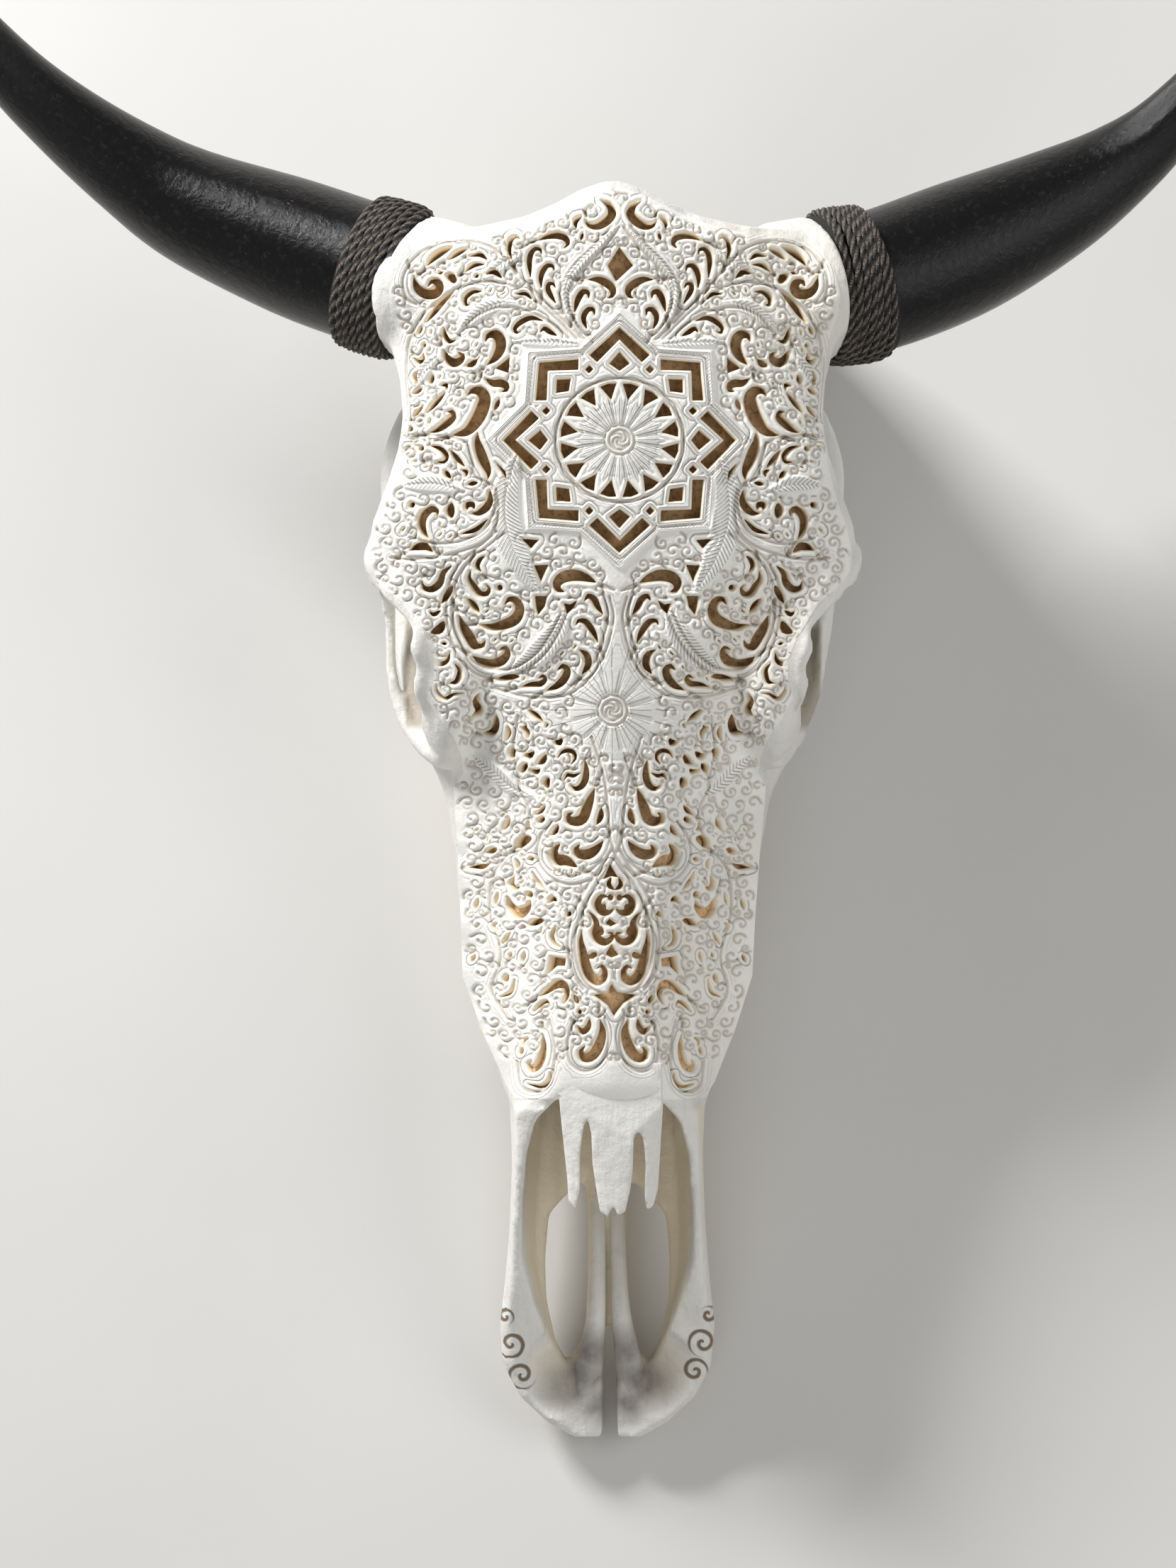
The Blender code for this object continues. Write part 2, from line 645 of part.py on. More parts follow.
def diamond(px, py, half_width, half_height):
    return [(px, py - half_height), (px + half_width, py), (px, py + half_height), (px - half_width, py)]


def star_holes():
    """Two crossed squares round a ring: a V slot, a kite and two small gaps at each of 8 points."""
    holes = []
    for i in range(8):
        turn = 45.0 * i
        reach = 1.0 if i % 2 == 0 else 0.965
        tip = polar(STAR_CENTRE, 165.0 * reach, turn)
        inner_tip = polar(STAR_CENTRE, 146.0 * reach, turn)
        arms = []
        for sign in (1, -1):
            outer_end = polar(STAR_CENTRE, 131.0, turn + sign * 18.0)
            inner_end = polar(STAR_CENTRE, 119.0, turn + sign * 15.5)
            arms.append((outer_end, inner_end))
        holes.append([tip, arms[0][0], arms[0][1], inner_tip, arms[1][1], arms[1][0]])
        kite = [polar(STAR_CENTRE, 129.0 * reach, turn), polar(STAR_CENTRE, 112.0, turn + 7.5),
                polar(STAR_CENTRE, 100.0, turn), polar(STAR_CENTRE, 112.0, turn - 7.5)]
        holes.append(kite)
        gap = polar(STAR_CENTRE, 112.0, turn + 22.5)
        holes.append(diamond(*gap, 6.5, 6.5))
    for i in range(16):
        turn = 22.5 * (i + 0.5)
        holes.append([polar(STAR_CENTRE, 62.0, turn), polar(STAR_CENTRE, 83.0, turn + 7.5),
                      polar(STAR_CENTRE, 83.0, turn - 7.5)])
    return holes


# Curved holes of the right half: middle of the arc, its radius, start and end angle, and width
CURL_HOLES = (
    (913, 297, 21, 105, 250, 13), (968, 352, 19, 40, 150, 9), (983, 375, 20, -50, 50, 8),
    (903, 419, 19, 60, 190, 10), (918, 432, 21, -40, 60, 9), (1129, 396, 23, -85, 15, 13),
    (1096, 392, 44, 20, 110, 9), (1060, 494, 20, 110, 255, 13), (1097, 495, 19, -95, 25, 11),
    (1048, 548, 15, 30, 120, 9), (1096, 573, 34, 135, 265, 19), (1124, 585, 23, 160, 280, 10),
    (1062, 700, 22, 190, 290, 9), (1117, 742, 20, -60, 60, 10), (930, 838, 28, 20, 160, 15),
    (905, 862, 17, 70, 200, 10), (926, 905, 28, 95, 190, 10), (932, 940, 20, 120, 230, 9),
    (960, 948, 22, 180, 275, 10), (1035, 851, 30, 170, 310, 14), (1050, 892, 24, -60, 20, 12),
    (1040, 910, 22, 190, 335, 12), (1048, 822, 22, -60, 45, 9), (1102, 820, 22, 120, 215, 9),
    (1086, 850, 20, -40, 40, 9), (1046, 1020, 17, 120, 250, 10), (1098, 942, 17, 150, 260, 9),
    (947, 1061, 18, 130, 260, 10), (943, 1097, 24, 130, 245, 12), (932, 1135, 26, 160, 245, 12),
    (909, 1168, 15, 115, 235, 8), (912, 1180, 22, 205, 320, 10), (938, 1205, 22, 220, 330, 12),
    (886, 1268, 16, -60, 60, 9), (898, 1300, 22, -70, 40, 11), (894, 1338, 32, -75, 35, 14),
    (1003, 1262, 22, 200, 330, 14), (905, 1462, 27, 140, 260, 13), (994, 1492, 22, 130, 240, 10),
    (988, 1410, 20, 60, 150, 9), (1008, 1190, 22, 200, 300, 9), (975, 1150, 20, 120, 230, 9),
)

# Straight-edged holes of the right half
PLAIN_HOLES = (
    ((1066, 604), (1072, 622), (1062, 672), (1048, 674), (1058, 630)),
    ((1026, 503), (1046, 519), (1027, 526)),
    ((1094, 704), (1104, 706), (1100, 731), (1093, 722)),
    ((982, 762), (1005, 760), (992, 774)),
    ((970, 801), (990, 803), (979, 822)),
    ((966, 838), (985, 842), (980, 868), (968, 858)),
    ((1119, 781), (1132, 771), (1152, 776), (1140, 784)),
    ((928, 850), (946, 852), (940, 866), (930, 862)),
    ((1096, 390), (1104, 381), (1112, 391), (1102, 402)),
    ((935, 1352), (956, 1350), (958, 1370), (944, 1362)),
    ((968, 1290), (986, 1300), (972, 1308)),
)
MIDDLE_HOLES = (
    ((872, 346), (893, 373), (869, 395), (855, 374)),
    ((864, 1216), (877, 1240), (864, 1250), (853, 1240)),
    ((865, 1387), (876, 1398), (896, 1402), (878, 1416), (867, 1434), (856, 1416), (838, 1402),
     (855, 1397)),
    ((864, 1334), (875, 1345), (864, 1352), (854, 1345)),
)


def carving_holes():
    """Outlines of every hole, in pixels of the photograph."""
    right = [crescent(*numbers) for numbers in CURL_HOLES] + [list(h) for h in PLAIN_HOLES]
    left = []
    for hole in right:
        left.append([(2.0 * pattern_middle(py) - px, py) for px, py in hole][::-1])
    return star_holes() + right + left + [list(h) for h in MIDDLE_HOLES]


def pockets(bm):
    """A short shaft for every hole of the openwork, cut square to the face plane."""
    for hole in carving_holes():
        outline = [from_photo(px, py) for px, py in hole]
        heights = [surface_z(x, y) for x, y in outline]
        add_plate(bm, outline, min(heights) - POCKET_DEPTH, max(heights) + 12.0)


def table(bm):
    """The slab of space under the skull, which cuts level feet on what reaches the table."""
    thick = Matrix.Diagonal((0.8, 1.2, 0.1, 1.0))
    bmesh.ops.create_cube(bm, size=1.0, matrix=Matrix.Translation((0.0, 0.0, -0.05)) @ thick)


def mesh_object(name, builders, collection, parent=None):
    """One mesh from several builders that each add their shapes to it."""
    bm = bmesh.new()
    for build in builders:
        build(bm)
    mesh = bpy.data.meshes.new(name)
    bm.to_mesh(mesh)
    bm.free()
    return new_object(name, mesh, collection, parent)


def evaluated_mesh(obj):
    graph = bpy.context.evaluated_depsgraph_get()
    return bpy.data.meshes.new_from_object(obj.evaluated_get(graph))


def add_remesh(obj, voxel):
    fuse = obj.modifiers.new("fuse", "REMESH")
    fuse.mode = "VOXEL"
    fuse.voxel_size = voxel * MM


def add_cut(obj, cutter, name):
    cut = obj.modifiers.new(name, "BOOLEAN")
    cut.operation = "DIFFERENCE"
    cut.object = cutter
    hide_cutter(cutter)


def clear_scene():
    for obj in list(bpy.data.objects):
        bpy.data.objects.remove(obj)


def fused_bone(axes, cutters):
    """The skull in one skin: lumps fused, hollows opened, then the thin parts added."""
    lumps = mesh_object("bone_lumps", (forehead, face, braincase, cheek_arches, throat), cutters)
    add_remesh(lumps, BONE_VOXEL)
    hollow = mesh_object("hollows", (hollows,), cutters)
    add_remesh(hollow, BONE_VOXEL)
    add_cut(lumps, hollow, "open_the_hollows")
    opened = evaluated_mesh(lumps)
    bpy.data.objects.remove(lumps)
    bpy.data.objects.remove(hollow)
    bm = bmesh.new()
    bm.from_mesh(opened)
    nasal_tips(bm)
    palate_rods(bm)
    for axis in axes.values():
        horn_core(bm, axis)
    mesh = bpy.data.meshes.new("skull")
    bm.to_mesh(mesh)
    bm.free()
    return mesh


def skull(axes, parts, cutters, face_plane, ground):
    bone = new_object("skull", fused_bone(axes, cutters), parts, face_plane)
    add_remesh(bone, BONE_VOXEL)
    soften = bone.modifiers.new("soften", "SMOOTH")
    soften.factor = 0.5
    soften.iterations = 6
    thin = bone.modifiers.new("thin", "DECIMATE")
    thin.ratio = BONE_FACES_KEPT
    seats = bmesh.new()
    for axis in axes.values():
        horn_seat(seats, axis)
    mesh = bpy.data.meshes.new("horn_seats")
    seats.to_mesh(mesh)
    seats.free()
    add_cut(bone, new_object("horn_seats", mesh, cutters, face_plane), "seat_the_horns")
    add_cut(bone, mesh_object("carving_shafts", (pockets,), cutters, face_plane), "carve")
    add_cut(bone, mesh_object("tooth_sockets", (sockets,), cutters, ground), "open_sockets")
    add_cut(bone, mesh_object("table_space", (table,), cutters, ground), "level_the_feet")
    return bone


def teeth(parts, ground):
    made = []
    for name, side, x, y, length, width, columns in tooth_places():
        bm = bmesh.new()
        add_tooth(bm, side, x, y, length, width, columns, 0.0, 0.0, TOOTH_HEIGHT)
        mesh = bpy.data.meshes.new(name)
        bm.to_mesh(mesh)
        bm.free()
        made.append(new_object(name, mesh, parts, ground))
    return made


def middle_of(objects):
    """The middle of everything, seen from above, in world units."""
    bpy.context.view_layer.update()
    graph = bpy.context.evaluated_depsgraph_get()
    corners = []
    for obj in objects:
        mesh = obj.evaluated_get(graph).to_mesh()
        corners += [obj.matrix_world @ v.co for v in mesh.vertices]
    xs = [c.x for c in corners]
    ys = [c.y for c in corners]
    return 0.5 * (min(xs) + max(xs)), 0.5 * (min(ys) + max(ys))


def main():
    clear_scene()
    parts = new_collection("carved_cow_skull")
    cutters = new_collection("cutters")
    ground = new_object("ground", None, cutters)
    face_plane = new_object("face_plane", None, cutters, ground)
    face_plane.rotation_euler.x = REST_TILT
    face_plane.location.z = TABLE_DEPTH * math.cos(REST_TILT) * MM
    axes = {side: HornAxis(path, radii) for side, path, radii in HORNS}

    bone = skull(axes, parts, cutters, face_plane, ground)
    bone.data.materials.append(material("carved_bone", (0.82, 0.79, 0.72), 0.6))
    made = [bone]
    black = material("black_horn", (0.012, 0.011, 0.011), 0.15)
    cord = material("dark_cord", (0.05, 0.04, 0.035), 0.9)
    for side, axis in axes.items():
        horn = sheath(side + "_horn", axis, parts, face_plane)
        horn.data.materials.append(black)
        band = binding(side + "_binding", axis, parts, face_plane)
        band.data.materials.append(cord)
        made += [horn, band]
    enamel = material("enamel", (0.78, 0.72, 0.60), 0.35)
    for tooth in teeth(parts, ground):
        tooth.data.materials.append(enamel)
        made.append(tooth)
    x, y = middle_of(made)
    ground.location = (-x, -y, 0.0)


main()
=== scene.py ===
# %% [markdown]
# # A carved cow skull with black horns
# The real thing is one old skull. Its bone is bleached, and a carver has sawn and engraved the whole
# forehead and face into an openwork of leaves and scrolls round a star. Polished black horn sheaths sit
# on the bony cores, and dark twisted cord hides each joint. It lies face up on its cheek teeth.
#
# The imported solids give every size and place. This script dresses them: it grows the bone again with
# finer detail, lays the carved surface over it, makes the horns and the cord, and gives the teeth a finish.

# %% Load the imported solids
import math

import bmesh
import bpy
import numpy as np
from mathutils import Matrix, Vector
from mathutils.bvhtree import BVHTree


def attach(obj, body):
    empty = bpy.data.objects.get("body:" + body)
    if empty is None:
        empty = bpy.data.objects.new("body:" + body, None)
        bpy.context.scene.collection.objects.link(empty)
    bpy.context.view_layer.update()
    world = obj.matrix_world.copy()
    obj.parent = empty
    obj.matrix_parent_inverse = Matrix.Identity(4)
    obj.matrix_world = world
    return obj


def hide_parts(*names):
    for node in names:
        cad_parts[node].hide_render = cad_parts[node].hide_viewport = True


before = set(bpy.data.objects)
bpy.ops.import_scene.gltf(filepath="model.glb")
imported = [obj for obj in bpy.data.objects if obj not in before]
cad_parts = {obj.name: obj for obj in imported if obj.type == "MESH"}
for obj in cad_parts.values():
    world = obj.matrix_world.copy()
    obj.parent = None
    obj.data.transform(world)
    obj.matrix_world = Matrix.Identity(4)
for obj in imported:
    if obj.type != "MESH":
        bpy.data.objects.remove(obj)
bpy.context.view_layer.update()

# %% [markdown]
# ## The skull's own frame
# A skull is easiest to shape with its forehead flat: X across, Y towards the poll, Z out of the face.
# One matrix then tips it back the way a skull without its lower jaw lies on a table. The photograph
# looks straight at the face plane, so one scale turns its pixels into millimetres of that plane.

# %% Frames and scales
MM = 0.001
REST_TILT = math.radians(12.0)
FACE = Matrix.Translation((0.0105, -0.03686, 0.14085)) @ Matrix.Rotation(REST_TILT, 4, "X")
PHOTO_MIDDLE = 868.0
PHOTO_LEVEL = 1000.0
PHOTO_SCALE = 0.28
IMAGE_WIDTH = 1659
IMAGE_HEIGHT = 2212
BONE_VOXEL = 1.5
MOST_BONE_TRIANGLES = 168000
TIP_VOXEL = 0.8


def to_face(px, py):
    return (px - PHOTO_MIDDLE) * PHOTO_SCALE, (PHOTO_LEVEL - py) * PHOTO_SCALE


def to_pixel(x, y):
    return x / PHOTO_SCALE + PHOTO_MIDDLE, PHOTO_LEVEL - y / PHOTO_SCALE


def smoothstep(x, low, high):
    t = np.clip((x - low) / (high - low), 0.0, 1.0)
    return t * t * (3.0 - 2.0 * t)


def triangles(obj):
    return sum(len(f.vertices) - 2 for f in obj.data.polygons)


def note(mesh, **numbers):
    """Writes numbers on the points of a mesh, for its material to read."""
    for name, values in numbers.items():
        layer = mesh.attributes.new(name, "FLOAT", "POINT")
        layer.data.foreach_set("value", np.asarray(values, dtype=np.float32))


# %% [markdown]
# ## Camera
# The photographer stood over the skull and looked square at its face, so the camera looks along the
# face plane's normal. A long lens from far off keeps the horns, which lie deeper, in scale.

# %% Place the camera
CAMERA_DISTANCE = 5.0
view_height = IMAGE_HEIGHT * PHOTO_SCALE * MM
middle_x, middle_y = to_face(IMAGE_WIDTH / 2, IMAGE_HEIGHT / 2)
camera_data = bpy.data.cameras.new("camera")
camera_data.lens = camera_data.sensor_width * CAMERA_DISTANCE / view_height
camera = bpy.data.objects.new("camera", camera_data)
camera.matrix_world = FACE @ Matrix.Translation((middle_x * MM, middle_y * MM, CAMERA_DISTANCE))
bpy.context.scene.collection.objects.link(camera)
bpy.context.scene.camera = camera
print("lens:", round(camera_data.lens), "mm")

# %% [markdown]
# ## Tools for growing bone
# Bone has no flat faces, so its pieces are lumps, bars and lofted skins that overlap, and a voxel
# remesh then fuses them. A loft is a grid whose columns are moved to the points of each slice and whose
# two sides are sewn together.

# %% Lofts, lumps and bars


def midline(y):
    """The skull grew a little crooked: its midline leans to the left along the face."""
    if y > 60.0:
        return -1.0
    lean = min(1.0, (60.0 - y) / 120.0)
    return -1.0 - 2.0 * lean * lean * (3.0 - 2.0 * lean)


def blend(pairs, y):
    """Reads a value at y from (y, value) pairs listed from the poll down."""
    return float(np.interp(-y, [-p[0] for p in pairs], [p[1] for p in pairs]))


def smooth_path(points, steps):
    """Points on a smooth curve through the given ones."""
    pts = [Vector(p) for p in points]
    pts = [2 * pts[0] - pts[1]] + pts + [2 * pts[-1] - pts[-2]]
    path = []
    for p0, p1, p2, p3 in zip(pts, pts[1:], pts[2:], pts[3:]):
        for i in range(steps):
            t = i / steps
            a = 2 * p1 + (p2 - p0) * t
            b = (2 * p0 - 5 * p1 + 4 * p2 - p3) * t * t
            c = (3 * p1 - p0 - 3 * p2 + p3) * t * t * t
            path.append((a + b + c) / 2)
    path.append(pts[-2])
    return path


def add_loft(bm, rings):
    """A tube through rings of points that all have the same count, closed at its ends."""
    around = len(rings[0])
    grid = bmesh.ops.create_grid(bm, x_segments=around, y_segments=len(rings) - 1, size=1.0)
    for n, v in enumerate(grid["verts"]):
        j, i = divmod(n, around + 1)
        v.co = Vector(rings[j][i % around]) * MM
    verts = grid["verts"]
    bmesh.ops.remove_doubles(bm, verts=verts, dist=1e-7)
    verts = [v for v in verts if v.is_valid]
    faces = list({f for v in verts for f in v.link_faces})
    ends = [e for e in {e for f in faces for e in f.edges} if e.is_boundary]
    faces += bmesh.ops.holes_fill(bm, edges=ends, sides=0)["faces"]
    bmesh.ops.recalc_face_normals(bm, faces=faces)


def add_lump(bm, centre, radii, turn=(0.0, 0.0, 0.0), segments=24):
    """An egg-shaped lump of bone."""
    place = Matrix.Translation(Vector(centre) * MM)
    spin = Matrix.Rotation(math.radians(turn[2]), 4, "Z")
    spin = spin @ Matrix.Rotation(math.radians(turn[1]), 4, "Y")
    spin = spin @ Matrix.Rotation(math.radians(turn[0]), 4, "X")
    stretch = Matrix.Diagonal((*[r * MM for r in radii], 1.0))
    bmesh.ops.create_uvsphere(
        bm, u_segments=segments, v_segments=segments // 2, radius=1.0, matrix=place @ spin @ stretch
    )


def rings_along(path, sizes, around):
    """Round slices square to a path, turned as little as possible from each to the next."""
    rings = []
    across = None
    for i, (at, size) in enumerate(zip(path, sizes)):
        forward = (path[min(i + 1, len(path) - 1)] - path[max(i - 1, 0)]).normalized()
        if across is None:
            across = forward.orthogonal()
        across = (across - forward * across.dot(forward)).normalized()
        up = forward.cross(across)
        ring = []
        for k in range(around):
            a = 2.0 * math.pi * k / around
            ring.append(at + (across * math.cos(a) + up * math.sin(a)) * size)
        rings.append(ring)
    return rings


def add_bar(bm, points, radii, steps=6, around=14):
    """A bar of bone along a smooth path, with a radius at each given point and round ends."""
    path = smooth_path(points, steps)
    sizes = [max(0.4, p.x) for p in smooth_path([(r, 0.0, 0.0) for r in radii], steps)]
    add_loft(bm, rings_along(path, sizes, around))
    add_lump(bm, path[0], [sizes[0]] * 3, segments=12)
    add_lump(bm, path[-1], [sizes[-1]] * 3, segments=12)


def add_plate(bm, outline, z_low, z_high):
    """A flat plate with the outline's shape between two heights."""
    verts = [bm.verts.new((x * MM, y * MM, z_low * MM)) for x, y in outline]
    face = bm.faces.new(verts)
    grown = bmesh.ops.extrude_face_region(bm, geom=[face])
    top = [v for v in grown["geom"] if isinstance(v, bmesh.types.BMVert)]
    bmesh.ops.translate(bm, verts=top, vec=(0.0, 0.0, (z_high - z_low) * MM))
    sides = {f for v in verts + top for f in v.link_faces}
    bmesh.ops.recalc_face_normals(bm, faces=list(sides))


def new_object(name, mesh):
    obj = bpy.data.objects.new(name, mesh)
    bpy.context.scene.collection.objects.link(obj)
    return obj


def mesh_from(bm, name):
    """Turns a bmesh into a mesh and frees it."""
    mesh = bpy.data.meshes.new(name)
    bm.to_mesh(mesh)
    bm.free()
    return mesh


def mesh_object(name, builders):
    """One object from several builders that each add their shapes to one bmesh."""
    bm = bmesh.new()
    for build in builders:
        build(bm)
    return new_object(name, mesh_from(bm, name))


def settle(obj):
    """Applies an object's modifiers to its mesh."""
    graph = bpy.context.evaluated_depsgraph_get()
    made = bpy.data.meshes.new_from_object(obj.evaluated_get(graph))
    obj.modifiers.clear()
    obj.data = made


def fuse(obj, voxel):
    remesh = obj.modifiers.new("fuse", "REMESH")
    remesh.mode = "VOXEL"
    remesh.voxel_size = voxel * MM


def cut_away(obj, cutter):
    """Takes one closed body out of another, then drops it."""
    cut = obj.modifiers.new("cut", "BOOLEAN")
    cut.operation = "DIFFERENCE"
    cut.solver = "MANIFOLD"
    cut.object = cutter
    settle(obj)
    bpy.data.objects.remove(cutter)


# %% [markdown]
# ## Shapes of the bone
# The forehead plate, the face with its cheeks, the braincase, the eye rims and cheek arches, and the
# thin wings of the throat. All numbers are millimetres in the skull's own frame, as in the solids.

# %% Lumps, skins and hollows of the skull
# Half the width of the skull from above, from the poll to the end of the snout: (y, half width)
FOREHEAD_HALF_WIDTHS = (
    (209.0, 4.0), (206.0, 13.0), (201.0, 22.0), (195.5, 35.0), (191.5, 54.0), (190.0, 74.0),
    (186.0, 86.0), (176.0, 92.5), (164.0, 94.0), (153.0, 93.0), (143.0, 88.0), (130.0, 84.5),
    (116.0, 83.5), (104.0, 85.0), (90.0, 89.5), (74.0, 95.5), (58.0, 98.5), (48.0, 97.0),
    (38.0, 89.0), (28.0, 76.0), (12.0, 66.0), (-8.0, 60.0), (-28.0, 52.0),
)


def mirrored(half):
    """A full ring from the points of its right half, listed from the top middle to the bottom."""
    return half + [(-x, z) for x, z in reversed(half) if x > 0.01]


def ring_at(y, half):
    return [(midline(y) + x, y, z) for x, z in mirrored(half)]


def beside(side, points):
    """The same points on the right (1) or the left (-1) of the midline."""
    return [(midline(y) + side * x, y, z) for x, y, z in points]


# The forehead: a broad plate, domed from side to side, with rounded edges. (y, height of its
# middle), (y, how fast it falls away to the sides) and (y, thickness)
CROWN_HEIGHTS = (
    (209.0, -9.0), (200.0, -3.0), (188.0, 0.0), (150.0, 1.5), (100.0, 3.0), (60.0, 1.5),
    (30.0, -1.0), (0.0, -4.0), (-30.0, -6.0), (-150.0, -5.0), (-200.0, -10.0),
)
CROWN_FALLS = (
    (209.0, 0.0022), (150.0, 0.0013), (100.0, 0.0012), (60.0, 0.0015), (30.0, 0.0030),
    (0.0, 0.0060), (-30.0, 0.0085), (-70.0, 0.0105), (-150.0, 0.0150),
)
FOREHEAD_THICKNESS = (
    (209.0, 30.0), (195.0, 46.0), (150.0, 34.0), (110.0, 24.0), (60.0, 24.0), (20.0, 34.0),
    (-28.0, 30.0),
)
FOREHEAD_SIDES = 28


def dorsal_z(x, y):
    """Height of the carved surface of forehead and face at a place seen from above."""
    across = abs(x - midline(y))
    return blend(CROWN_HEIGHTS, y) - blend(CROWN_FALLS, y) * across * across


def forehead(bm):
    """The frontal plate is lofted in slices, each a flattened oval under the domed surface."""
    rings = []
    for y, half_width in FOREHEAD_HALF_WIDTHS:
        thick = blend(FOREHEAD_THICKNESS, y)
        ring = []
        for i in range(FOREHEAD_SIDES):
            a = 2 * math.pi * i / FOREHEAD_SIDES
            c = math.cos(a)
            s = math.sin(a)
            x = half_width * math.copysign(abs(c) ** 0.55, c)
            z = 0.5 * thick * math.copysign(abs(s) ** 0.7, s)
            top = dorsal_z(midline(y) + x, y)
            ring.append((midline(y) + x, y, top - 0.5 * thick + z))
        rings.append(ring)
    add_loft(bm, rings)


# The face: nasal roof, cheeks, tooth-bearing edges and snout, as (x, z) of each right half
FACE_SLICES = (
    (74.0, ((0, -8), (22, -12), (36, -26), (42, -46), (40, -76), (34, -104), (24, -110), (0, -108))),
    (44.0, ((0, -6), (30, -8), (52, -22), (60, -45), (58, -80), (50, -112), (30, -118), (0, -112))),
    (12.0, ((0, -3), (28, -8), (50, -22), (66, -50), (68, -78), (57, -120), (36, -126), (0, -112))),
    (-12.0, ((0, -5), (26, -10), (46, -25), (64, -50), (69, -76), (56, -124), (34, -126), (0, -108))),
    (-30.0, ((0, -6), (24, -11), (43, -28), (60, -54), (66, -76), (55, -121), (33, -122), (0, -105))),
    (-61.0, ((0, -6), (22, -11), (39, -30), (53, -55), (61, -79), (54, -115), (31, -116), (0, -100))),
    (-85.0, ((0, -5), (20, -10), (37, -30), (51, -56), (59, -80), (52, -110), (30, -111), (0, -96))),
    (-107.0, ((0, -4), (19, -9), (35, -29), (48, -54), (58, -80), (50, -106), (29, -107), (0, -93))),
    (-129.0, ((0, -4), (19, -9), (34, -27), (44, -50), (51, -74), (47, -101), (28, -102), (0, -90))),
    (-147.0, ((0, -5), (21, -9), (34, -22), (39, -42), (43, -64), (40, -96), (26, -97), (0, -87))),
    (-158.0, ((0, -8), (24, -10), (36, -20), (38, -38), (39, -58), (36, -92), (24, -93), (0, -85))),
    (-180.0, ((0, -24), (24, -22), (36.5, -25), (38, -40), (38, -58), (35, -88), (24, -89), (0, -82))),
    (-205.0, ((0, -34), (24, -33), (37.5, -34), (39, -46), (39, -60), (36, -84), (25, -85), (0, -79))),
    (-228.0, ((0, -45), (24, -44), (38.5, -44), (40.5, -54), (41, -64), (38, -80), (26, -81), (0, -77))),
    (-246.0, ((0, -55), (24, -54), (40, -53), (43, -60), (43, -67), (39, -77), (26, -79), (0, -76))),
    (-262.0, ((0, -61), (22, -61), (38, -58), (42, -64), (41, -69), (37, -75), (24, -77), (0, -76))),
    (-275.0, ((0, -64), (18, -64), (30, -61), (35, -65), (35, -70), (30, -75), (20, -77), (0, -76))),
    (-286.0, ((0, -66), (12, -66), (20, -63), (23, -66), (23, -70), (20, -74), (12, -76), (0, -75))),
    (-291.0, ((0, -67), (7, -67), (11, -65), (13, -67), (14, -70), (12, -73), (7, -74), (0, -74))),
)


def face(bm):
    rings = []
    for y, half in FACE_SLICES:
        vault = (half[6][0] * 0.72, half[7][1] - 2.0)
        rings.append(ring_at(y, list(half[:7]) + [vault, half[7]]))
    add_loft(bm, rings)


def braincase(bm):
    """The vault under the forehead and the back of the skull, down to the neck joint."""
    add_lump(bm, (-1, 120, -66), (54, 82, 58))
    add_lump(bm, (-1, 62, -62), (46, 62, 52))
    add_lump(bm, (-1, 168, -84), (74, 24, 68))
    add_lump(bm, (-1, 173, -30), (88, 22, 27))
    add_lump(bm, (-1, 170, -122), (64, 24, 32))
    add_bar(bm, ((-1, 188, -146), (-1, 150, -143), (-1, 95, -126)), (17, 18, 16))
    for side in (-1, 1):
        add_lump(bm, (side * 21 - 1, 186, -139), (14, 15, 23), turn=(20, side * 14, 0))
        add_bar(bm, ((side * 52 - 1, 172, -118), (side * 54 - 1, 172, -146), (side * 50 - 1, 170, -176)),
                (17, 13, 7.0))
        add_lump(bm, (side * 36 - 1, 138, -134), (11, 17, 17), turn=(-14, 0, 0))
        add_lump(bm, (side * 60 - 1, 148, -108), (17, 20, 24))
        add_lump(bm, (side * 80 - 1, 167, -36), (20, 26, 28), turn=(0, side * 20, 0))


# The left rim stands out a little, the right one less, in mm
RIMS_OUT = {-1: 2.4, 1: -1.8}


def eye_rim(side):
    """Points of the rim round an eye socket, from the brow round the front and back to it."""
    out = RIMS_OUT[side]
    rim = (
        (84, 50, -22), (68, 32, -19), (62, 8, -22), (62, -12, -36), (66, -17, -52),
        (76.5 + out, -8, -67), (84.5 + out, 10, -71), (86.2 + out, 34, -70), (88 + out, 54, -58),
        (91, 61, -38), (90, 58, -26),
    )
    return beside(side, rim)


def cheek_arches(bm):
    """Eye-socket rims, the cheekbones below them and the arches that run back to the ears."""
    for side in (-1, 1):
        add_lump(bm, (side * 62 - 1.5, 14, -44), (17, 36, 34))
        add_bar(bm, eye_rim(side), (9, 7.5, 7, 7, 7, 4.0, 2.7, 2.7, 5, 8, 9), steps=4)
        brow = ((84, 45, -19), (76.5, 33, -13), (76.5, 24, -13), (74.5, 17, -15), (75, 9, -18),
                (71.5, 1, -24), (66, -7, -34))
        add_bar(bm, beside(side, brow), (5, 3, 3.6, 3, 3.6, 4, 5), steps=4)
        arch = (
            (68, -8, -74), (79, 22, -82), (84, 55, -85), (86, 80, -90), (85, 100, -94),
            (72, 118, -97), (52, 126, -97),
        )
        add_bar(bm, beside(side, arch), (11, 8, 7, 7, 8, 13, 15), steps=3)
        crest = ((66, -8, -68), (58, -32, -78), (54, -62, -83), (52, -96, -84))
        add_bar(bm, beside(side, crest), (11, 8, 6, 6), steps=3)
        add_lump(bm, (side * 68 - 1, 112, -101), (20, 13, 9))


